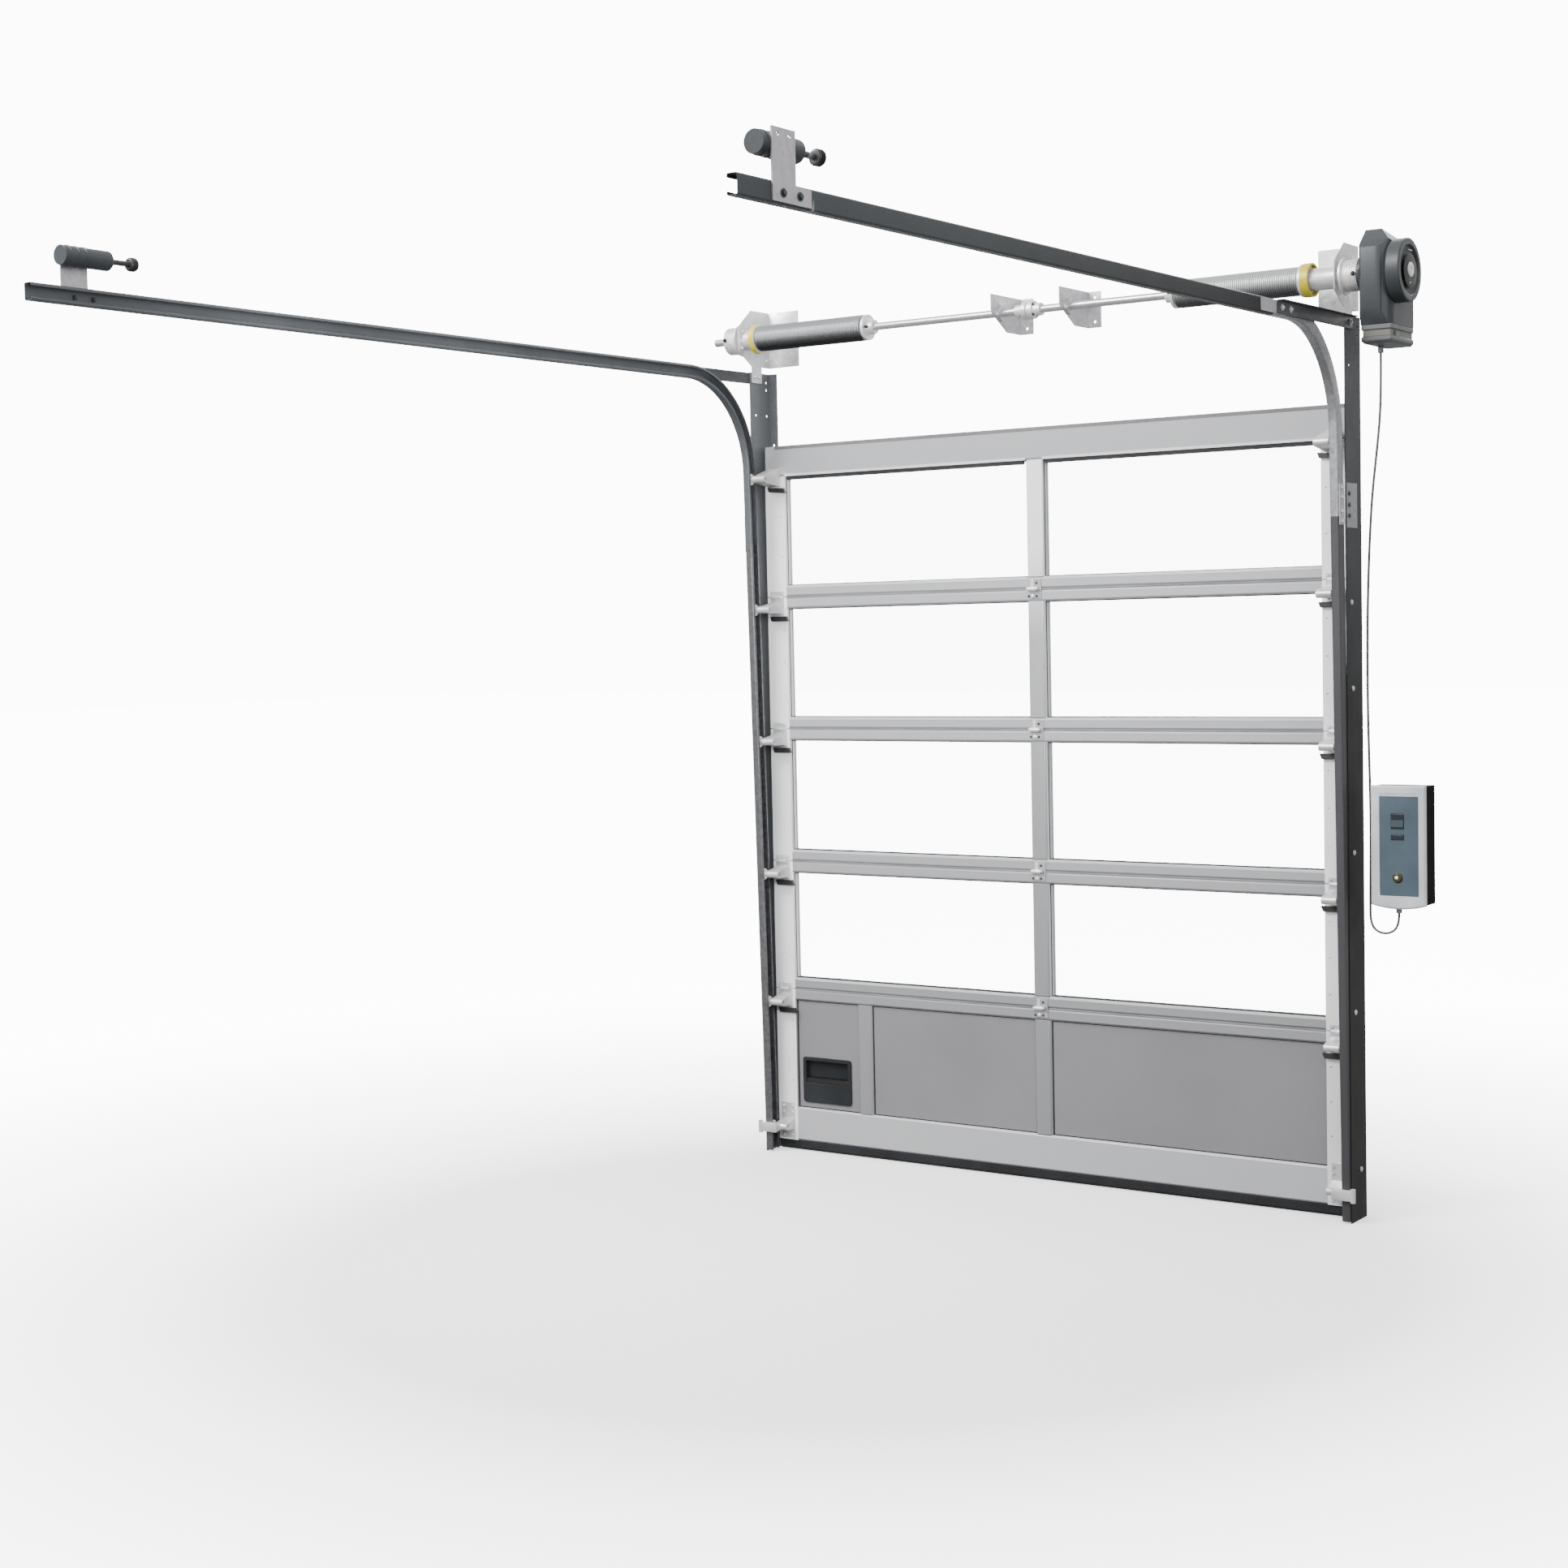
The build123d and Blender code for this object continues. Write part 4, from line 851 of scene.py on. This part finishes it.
for joint_z in joint_heights:
    block(
        hinge_bowls,
        (hinge_x - stub_half, plate_face_y - stub_proud, joint_z + stub_foot),
        (hinge_x + stub_half, plate_face_y, joint_z + stub_top),
    )
    turned(hinge_bowls, bowl, (hinge_x, plate_face_y - bowl_proud, joint_z), "x", 24)
finished("centre_hinge_bowls", hinge_bowls, hinge_white, 0.0006)
row_below = 0.024
spots = [(hinge_x, plate_face_y, z - row_below) for z in joint_heights]
fasten("centre_hinge_dots", spots, "-y", hinge_white, 0.011, 0.003, 0.0125, 20)
centre_screws = ((0.0155, 0.02), (-0.0145, -row_below), (0.0155, -row_below))
spots = [(hinge_x + x, plate_face_y, z + dz) for z in joint_heights for x, dz in centre_screws]
fasten("centre_hinge_screws", spots, "-y", slate_coat, 0.007, 0.002, 0.0085)
stile_middle = 1.106 - cover_wide / 2
screw_half = 0.02
for side, way in (("left", -1), ("right", 1)):
    dressed("side_hinges_" + side, bright_zinc, 0.0005)
    stile_x = middle_x + way * stile_middle
    spots = [
        (stile_x + x, plate_face_y, z - row_below + dz)
        for z in joint_heights for x in (-screw_half, screw_half) for dz in (-0.036, 0.036)
    ]
    fasten("side_hinge_screws_" + side, spots, "-y", bright_zinc, 0.008, 0.003, 0.011)


# Roller holders: folded zinc brackets that reach out from the hinges to the roller stems. A flat black block at
# each one's foot is painted shade, the shade under the bracket. The top one stands on the top rail's end.
def shade_wedge(body, centre_x, top_z, lean):
    """Add the painted shade at one holder's foot: a flat black block with slanting ends, its upper edge leaning
    right.
    """
    half = 0.032
    deep = 0.013
    high = 0.0175
    slant = 0.007
    clear = 0.0013
    foot_z = top_z - high
    outline = ((-half - slant, top_z), (half, top_z - lean), (half + slant, top_z - lean - high), (-half, foot_z))
    near = [body.verts.new((centre_x + x, leaf_front_y - deep, z)) for x, z in outline]
    far = [body.verts.new((centre_x + x, leaf_front_y - clear, z)) for x, z in outline]
    body.faces.new(near)
    body.faces.new(far)
    for index in range(4):
        after = (index + 1) % 4
        body.faces.new((near[index], near[after], far[after], far[index]))


holder_zinc = zinc_plate("holder_zinc", (0.66, 0.66, 0.68), 0.38)
for side in ("left", "right"):
    dressed("roller_holders_" + side, holder_zinc, 0.0008)

# Black for the shade under the holders: painted shade.
holder_shade_black = moulded("holder_shade_black", (0.016, 0.017, 0.018), 0.45)
shade_below_joint = 0.0695
top_shade_z = 2.404
top_shade_lean = 0.006
for side, way in (("left", -1), ("right", 1)):
    shade_x = middle_x + way * (stile_middle - 0.012)
    holder_shades = bmesh.new()
    for joint_z in joint_heights:
        shade_wedge(holder_shades, shade_x, joint_z - shade_below_joint, 0.0)
    shade_wedge(holder_shades, shade_x, top_shade_z, top_shade_lean)
    finished("holder_shade_" + side, holder_shades, holder_shade_black, 0.0006)

# Rollers: white nylon wheels on steel stems. They run in the upright tracks, and the holders and the bottom
# brackets carry their stems.
nylon = moulded("nylon", (0.74, 0.74, 0.72), 0.4)
for side in ("left", "right"):
    dressed("rollers_" + side, nylon, 0.001)

# Bottom brackets: zinc plates on the leaf's lower corners that carry the lowest rollers. Six hexagon washer
# screws hold each one to its stile.
dressed("bottom_brackets", bright_zinc, 0.0008)
foot_screw_zs = (0.056, 0.14, 0.162)
for side, way in (("left", -1), ("right", 1)):
    stile_x = middle_x + way * stile_middle
    spots = [(stile_x + x, plate_face_y, z) for x in (-screw_half, screw_half) for z in foot_screw_zs]
    fasten("foot_screws_" + side, spots, "-y", bright_zinc, 0.009, 0.0035, 0.012)


# Torsion shaft: one straight bar of bright drawn steel over the door. The coupling's flanges, the drums and the
# winding cones are clamped on it by dark set screws and turn with it.
def round_shaft(x, radius):
    """Four places on a circle round the shaft, at one place along it."""
    turns = [math.radians(45 + 90 * step) for step in range(4)]
    return [(x, shaft_y + radius * math.cos(turn), shaft_z + radius * math.sin(turn)) for turn in turns]


drawn = (0.62, 0.63, 0.64)
shaft_steel, tree, shader, place = new_finish("shaft_steel", drawn, 0.28, 0.8)
scratches = mottle(tree, place, 40, (12, 1, 1))
tint(tree, shader, scratches, lighter(drawn, 0.86), lighter(drawn, 1.1))
polish(tree, shader, scratches, 0.22, 0.4)
cast_alloy = zinc_plate("cast_alloy", (0.8, 0.8, 0.81), 0.4)
shaft_low, shaft_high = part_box("torsion_shaft")
shaft_y = (shaft_low.y + shaft_high.y) / 2
shaft_z = (shaft_low.z + shaft_high.z) / 2
shaft_body = "torsion_shaft"
dressed("torsion_shaft", shaft_steel)
dressed("shaft_coupling", cast_alloy, 0.0008)
dressed("cable_drums", cast_alloy, 0.0006)
dressed("winding_cones", cast_alloy, 0.001)
coupling_low, coupling_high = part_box("shaft_coupling")
coupling_x = (coupling_low.x + coupling_high.x) / 2
for side, reach, way in (("left", -0.021, "-x"), ("right", 0.021, "+x")):
    spots = round_shaft(coupling_x + reach, 0.0235)
    fasten("coupling_bolts_" + side, spots, way, slate_coat, 0.008, 0.004, 0.01, body=shaft_body)
screw_black = coated_steel("screw_black", (0.02, 0.02, 0.022), 0.4)
for name, node, inset, front_y, across, high, washer in (
    ("drum_screws", "cable_drums", 0.008, shaft_y - 0.047, 0.014, 0.008, 0.0142),
    ("cone_screws", "winding_cones", 0.05, shaft_y - 0.023, 0.01, 0.012, 0.0102),
):
    low, high_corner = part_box(node)
    spots = [(low.x + inset, front_y, shaft_z), (high_corner.x - inset, front_y, shaft_z)]
    fasten(name, spots, "-y", screw_black, across, high, washer, 4, shaft_body)


# Torsion springs: close-wound oil-tempered wire, 7 mm thick, one on each side. Each is plugged on a fixed cone at
# its outer end, beside a yellow painted ring, and on a winding cone at its inner end.
def coil_tree():
    """A close-wound coil along X: a spiral swept with a round wire."""
    tree, given, result = new_tree("coil", (
        ("Coil Radius", "Float"), ("Wire Radius", "Float"), ("Length", "Float"), ("Turns", "Float"),
        ("Start", "Vector"), ("Finish", "Material"),
    ))
    spiral = wired(tree, "GeometryNodeCurveSpiral", {
        "Resolution": 24, "Start Radius": given["Coil Radius"], "End Radius": given["Coil Radius"],
        "Height": given["Length"], "Rotations": given["Turns"],
    })
    wire = wired(tree, "GeometryNodeCurvePrimitiveCircle", {"Resolution": 8, "Radius": given["Wire Radius"]})
    swept = wired(tree, "GeometryNodeCurveToMesh", {
        "Curve": spiral.outputs["Curve"], "Profile Curve": wire.outputs["Curve"], "Fill Caps": True,
    })
    laid = wired(tree, "GeometryNodeTransform", {
        "Geometry": swept.outputs["Mesh"], "Translation": given["Start"], "Rotation": (0, math.pi / 2, 0),
    })
    return close_tree(tree, given, result, laid.outputs[0])


def spring_finish(name, bright, underside_shade, low_z, high_z, rough=0.34):
    """Oiled spring wire, lighter on top and darker towards the underside: painted light and painted shade."""
    finish, tree, shader, place = new_finish(name, bright, rough, 0.75)
    tint(tree, shader, along(tree, place, "Z", low_z, high_z), underside_shade, bright, 0.1, 0.52)
    polish(tree, shader, mottle(tree, place, 60, (6, 1, 1)), rough - 0.05, rough + 0.1)
    return finish


coil = coil_tree()
coil_low, coil_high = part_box("spring_left")
wire_r = 0.0035
# Each spring's colour on top and under it: painted light and painted shade.
spring_light_and_shade = {
    "left": ((0.34, 0.35, 0.36), (0.032, 0.033, 0.035)),
    "right": ((0.54, 0.55, 0.56), (0.11, 0.112, 0.115)),
}
for side, (bright, underside_shade) in spring_light_and_shade.items():
    spring_low, spring_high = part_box("spring_" + side)
    coil_long = spring_high.x - spring_low.x - 2 * wire_r
    values = {
        "Coil Radius": (spring_high.z - spring_low.z) / 2 - wire_r, "Wire Radius": wire_r,
        "Length": coil_long, "Turns": coil_long / (2 * wire_r),
        "Start": (spring_low.x + wire_r, shaft_y, shaft_z),
        "Finish": spring_finish("spring_steel_" + side, bright, underside_shade, coil_low.z, coil_high.z),
    }
    host = bpy.data.meshes.new("coil_host")
    spring_coil = grow("spring_coil_" + side, coil, values, host, "root")
    smooth_faces(spring_coil.data, 80)
    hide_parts("spring_" + side)

ring_yellow = coated_steel("ring_yellow", (0.6, 0.49, 0.03), 0.4)
dressed("spring_anchors", cast_alloy, 0.0008)
anchor_low, anchor_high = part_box("spring_anchors")
ring_r = (anchor_high.z - anchor_low.z) / 2
left_ring_long, right_ring_long = 0.022, 0.03
right_ring_gap = 0.007
for side, ring_long, start_x in (
    ("left", left_ring_long, coil_low.x - left_ring_long),
    ("right", right_ring_long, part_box("spring_right")[1].x + right_ring_gap),
):
    ring = (
        (0.001, ring_r - 0.004), (0.001, ring_r - 0.001), (0.002, ring_r + 0.002),
        (ring_long - 0.002, ring_r + 0.002), (ring_long - 0.001, ring_r - 0.001),
        (ring_long - 0.001, ring_r - 0.004),
    )
    spun("yellow_ring_" + side, ring, [(start_x, shaft_y, shaft_z)], "x", 48, ring_yellow)

# Bearing plates: galvanised plates folded to a flange on the wall and a web for the shaft's bearing, one at each
# end and two near the middle. The end plates' hubs are bolted to the springs' fixed cones.
plate_zinc = galvanised("plate_zinc", (0.52, 0.52, 0.54), (0.62, 0.62, 0.64))
white_zinc = galvanised("white_zinc", (0.68, 0.68, 0.7), (0.8, 0.8, 0.82), 0.4)
dressed("end_plates", white_zinc, 0.0008)
dressed("centre_plates", plate_zinc, 0.0008)
anchor_bolt_circle = 0.042
plate_bolt_places = ((-0.07, 2.80), (-0.094, 2.80), (-0.025, 2.86))
plate_reach = 1.121
for side, way, face_x in (("left", "+x", middle_x - plate_reach), ("right", "-x", middle_x + plate_reach)):
    spots = round_shaft(face_x, anchor_bolt_circle)
    fasten("anchor_bolts_" + side, spots, way, bright_zinc, 0.012, 0.006, 0.016)
    spots = [(face_x, y, z) for y, z in plate_bolt_places]
    fasten("plate_bolts_" + side, spots, way, bright_zinc, 0.012, 0.006, 0.018)


# Drive unit: a tall cast housing coated slate grey on the shaft's right end, with a round boss on its free side
# and an end cap below. The shaft's bright end shows in a near-black ring on the boss, painted shade for the recess
# round it.
drive_coat = coated_steel("drive_coat", (0.042, 0.048, 0.053), 0.42)
cap_coat = coated_steel("cap_coat", (0.12, 0.125, 0.13), 0.45)
dressed("motor_housing", drive_coat, 0.003)
dressed("motor_boss", drive_coat, 0.004)
dressed("motor_end_cap", cap_coat, 0.003)
boss_face_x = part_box("motor_boss")[1].x
# A near-black flat ring on the boss: painted shade for its recess.
boss_recess_shade = coated_steel("boss_recess_shade", (0.014, 0.015, 0.017), 0.5)
eye_drop = 0.004
eye = ((0.0, 0.024), (0.0008, 0.025), (0.0011, 0.049), (0.0002, 0.052), (-0.001, 0.052))
spun("boss_eye", eye, [(boss_face_x, shaft_y, shaft_z - eye_drop)], "x", 48, boss_recess_shade)
stub = ((-0.004, 0.0225), (0.0028, 0.0225), (0.0046, 0.0195), (0.0046, 0.011), (0.0022, 0.0095), (0.0022, 0.0))
spun("shaft_eye", stub, [(boss_face_x, shaft_y, shaft_z)], "x", 32, cast_alloy, 0.0004)
slit_sunk, slit_proud = 0.0005, 0.0014
slits = [
    ((boss_face_x - slit_sunk, shaft_y + y0, shaft_z + z0), (boss_face_x + slit_proud, shaft_y + y1, shaft_z + z1))
    for y0, y1, z0, z1 in ((-0.014, 0.014, 0.0565, 0.0595), (-0.006, 0.002, -0.041, -0.037))
]
built("boss_slits", slits, bright_zinc, 0.0003)

cap_low, cap_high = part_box("motor_end_cap")
strip_olive = coated_steel("strip_olive", (0.15, 0.145, 0.125), 0.4)
strip_x = cap_high.x - 0.004
strip_y = cap_low.y + 0.004
strip_foot, strip_top = cap_low.z + 0.0215, cap_low.z + 0.0395
cap_strip = [
    ((cap_low.x + 0.006, strip_y - 0.0006, strip_foot), (strip_x, strip_y + 0.001, strip_top)),
    ((strip_x - 0.001, strip_y, strip_foot), (strip_x + 0.0006, strip_y + 0.075, strip_top)),
]
built("cap_strip", cap_strip, strip_olive, 0.0003)
cap_stud = (
    (strip_x - 0.001, strip_y + 0.028, strip_foot + 0.003),
    (strip_x + 0.0028, strip_y + 0.044, strip_top - 0.002),
)
built("cap_stud", [cap_stud], screw_black, 0.0006)

# Control box: a black back box on the wall with a pale grey cover bowed at its foot. A blue-grey membrane sheet
# lies in the cover's sunk field, round two dark keys and a lamp.
cover_pale = moulded("cover_pale", (0.56, 0.575, 0.6), 0.38, 1400)
box_black = moulded("box_black", (0.003, 0.0028, 0.0028), 0.6, shine=0.05)
membrane = moulded("membrane", (0.055, 0.083, 0.108), 0.35, 1600)
key_navy = moulded("key_navy", (0.008, 0.014, 0.024), 0.3)
dressed("control_box", box_black, 0.002)
dressed("control_cover", cover_pale, 0.002)
dressed("key_upper", key_navy)
dressed("key_lower", key_navy)
box_low, box_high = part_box("control_cover")
upper_low, upper_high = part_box("key_upper")
lower_low, lower_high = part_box("key_lower")
box_middle_x = (box_low.x + box_high.x) / 2
sheet_half = 0.0575
sheet_wider = 0.009
sheet_proud, sheet_sunk = 0.0007, 0.0024
sheet_foot = box_low.z + 0.042
sheet_top = sheet_foot + 0.307
key_gap = 0.001
key_half = (upper_high.x - upper_low.x) / 2 + key_gap
left_x, right_x = box_middle_x - sheet_half, box_middle_x + sheet_half + sheet_wider
near_key, far_key = box_middle_x - key_half, box_middle_x + key_half
under_keys, over_keys = lower_low.z - key_gap, upper_high.z + key_gap
sheet_y = box_low.y - sheet_proud
sheets = [
    ((x0, sheet_y, z0), (x1, box_low.y + sheet_sunk, z1))
    for x0, x1, z0, z1 in (
        (left_x, right_x, sheet_foot, under_keys),
        (left_x, near_key, under_keys, over_keys),
        (far_key, right_x, under_keys, over_keys),
        (near_key, far_key, lower_high.z + key_gap, upper_low.z - key_gap),
        (left_x, right_x, over_keys, sheet_top),
    )
]
built("membrane_sheet", sheets, membrane)

key_band = moulded("key_band", (0.05, 0.068, 0.085), 0.3)
band_foot = upper_low.z + 0.006
band_high = 0.021
upper_band = (
    (upper_low.x + 0.001, upper_low.y - 0.0006, band_foot),
    (upper_high.x - 0.001, upper_low.y + 0.0005, band_foot + band_high),
)
built("key_upper_band", [upper_band], key_band, 0.0003, "key_upper")

# Lamp: a pale yellow lens in a dark olive collar, low on the membrane. The lens glows faintly, and the collar
# stands just proud of the sheet.
lens_yellow, tree, shader, place = new_finish("lens_yellow", (0.85, 0.8, 0.42), 0.35)
tint(tree, shader, mottle(tree, place, 300), (0.8, 0.74, 0.35), (0.9, 0.87, 0.55))
feed(tree, shader, {"Coat Weight": 0.2, "Emission Color": (0.9, 0.85, 0.5, 1), "Emission Strength": 0.35})
collar_olive = moulded("collar_olive", (0.03, 0.028, 0.008), 0.35)
dressed("control_lamp", collar_olive, 0.0006)
lamp_low, lamp_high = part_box("control_lamp")
lamp_z = (lamp_low.z + lamp_high.z) / 2
collar = ((0.0, 0.0165), (-0.0012, 0.016), (-0.0018, 0.0145), (-0.0018, 0.008), (0.0, 0.008))
spun("lamp_collar", collar, [(box_middle_x, sheet_y, lamp_z)], "y", 40, collar_olive)
dome = ((0, 0.0058), (-0.0015, 0.0055), (-0.003, 0.0045), (-0.004, 0.0025), (-0.0043, 0))
lens_at = (box_middle_x - 0.002, lamp_low.y + 0.0005, lamp_z + 0.001)
spun("lamp_lens", dome, [lens_at], "y", 32, lens_yellow)

# Glands: grey plastic nuts. One stands where the cable leaves the drive unit, the other where it enters the
# control box.
gland_grey = moulded("gland_grey", (0.28, 0.29, 0.3), 0.45)
dressed("cable_glands", gland_grey, 0.001)

# Stage: a plain pale floor that fades to white away from the door, a white surround, and large soft lights from
# above. The surround is bright to look at, but lights the door softly, and less from below.
floor_mesh = bpy.data.meshes.new("floor")
floor_half = 60.0
corners = [(x * floor_half, y * floor_half, 0) for x, y in ((-1, -1), (1, -1), (1, 1), (-1, 1))]
floor_mesh.from_pydata(corners, [], [(0, 1, 2, 3)])
floor = placed("floor", floor_mesh)
floor_finish, tree, shader, place = new_finish("floor_finish", (0.82, 0.82, 0.82), 0.9)
door_foot = (middle_x, -1.2, 0)
glow_near, glow_far = 0.9, 12.0
fade_from, fade_to = 1.6, 5.5
from_door = wired(tree, "ShaderNodeVectorMath", {0: place, 1: door_foot}, operation="DISTANCE")
glow = wired(tree, "ShaderNodeMapRange", {
    "Value": from_door.outputs["Value"], "From Min": fade_from, "From Max": fade_to,
    "To Min": glow_near, "To Max": glow_far,
})
white = (1, 1, 1, 1)
feed(tree, shader, {"Emission Color": white, "Emission Strength": glow.outputs["Result"]})
floor_mesh.materials.append(floor_finish)
floor.visible_diffuse = False
floor.visible_glossy = False

surround = bpy.data.worlds.new("surround")
surround.use_nodes = True
sky = surround.node_tree
seen_glow = 12.0
light_above, light_below = 1.2, 0.3
seen_white = feed(sky, sky.nodes["Background"], {"Color": white, "Strength": seen_glow})
way_out = wired(sky, "ShaderNodeTexCoord", {})
way_parts = wired(sky, "ShaderNodeSeparateXYZ", {"Vector": way_out.outputs["Generated"]})
sky_light = wired(sky, "ShaderNodeMapRange", {
    "Value": way_parts.outputs["Z"], "From Min": -0.5, "From Max": 0.5,
    "To Min": light_below, "To Max": light_above,
})
soft_sky = wired(sky, "ShaderNodeBackground", {"Color": white, "Strength": sky_light.outputs["Result"]})
ray_kind = wired(sky, "ShaderNodeLightPath", {})
seen_or_lit = wired(sky, "ShaderNodeMixShader", {
    "Fac": ray_kind.outputs["Is Camera Ray"],
    1: soft_sky.outputs["Background"],
    2: seen_white.outputs["Background"],
})
feed(sky, sky.nodes["World Output"], {"Surface": seen_or_lit.outputs["Shader"]})
bpy.context.scene.world = surround


def soft_light(name, place_at, aim_at, size, power, spread=math.pi):
    """A large square lamp that looks at a point, hidden from the camera itself."""
    lamp = bpy.data.lights.new(name, "AREA")
    lamp.size = size
    lamp.energy = power
    lamp.spread = spread
    holder = placed(name, lamp)
    holder.location = place_at
    holder.visible_camera = False
    holder.rotation_euler = (Vector(aim_at) - Vector(place_at)).to_track_quat("-Z", "Y").to_euler()


door_middle = (middle_x, 0, 1.4)
soft_light("key_light", (middle_x - 3.0, -6.0, 7.0), door_middle, 3.0, 1000)
soft_light("fill_light", (middle_x + 6.0, -4.0, 4.0), door_middle, 4.0, 90)
left_track = (middle_x - 1.12, -1.0, 1.7)
soft_light("left_light", (middle_x + 0.7, -3.4, 2.4), left_track, 1.2, 45, math.radians(100))
soft_light("rear_light", (middle_x, 5.0, 5.0), door_middle, 4.0, 260)
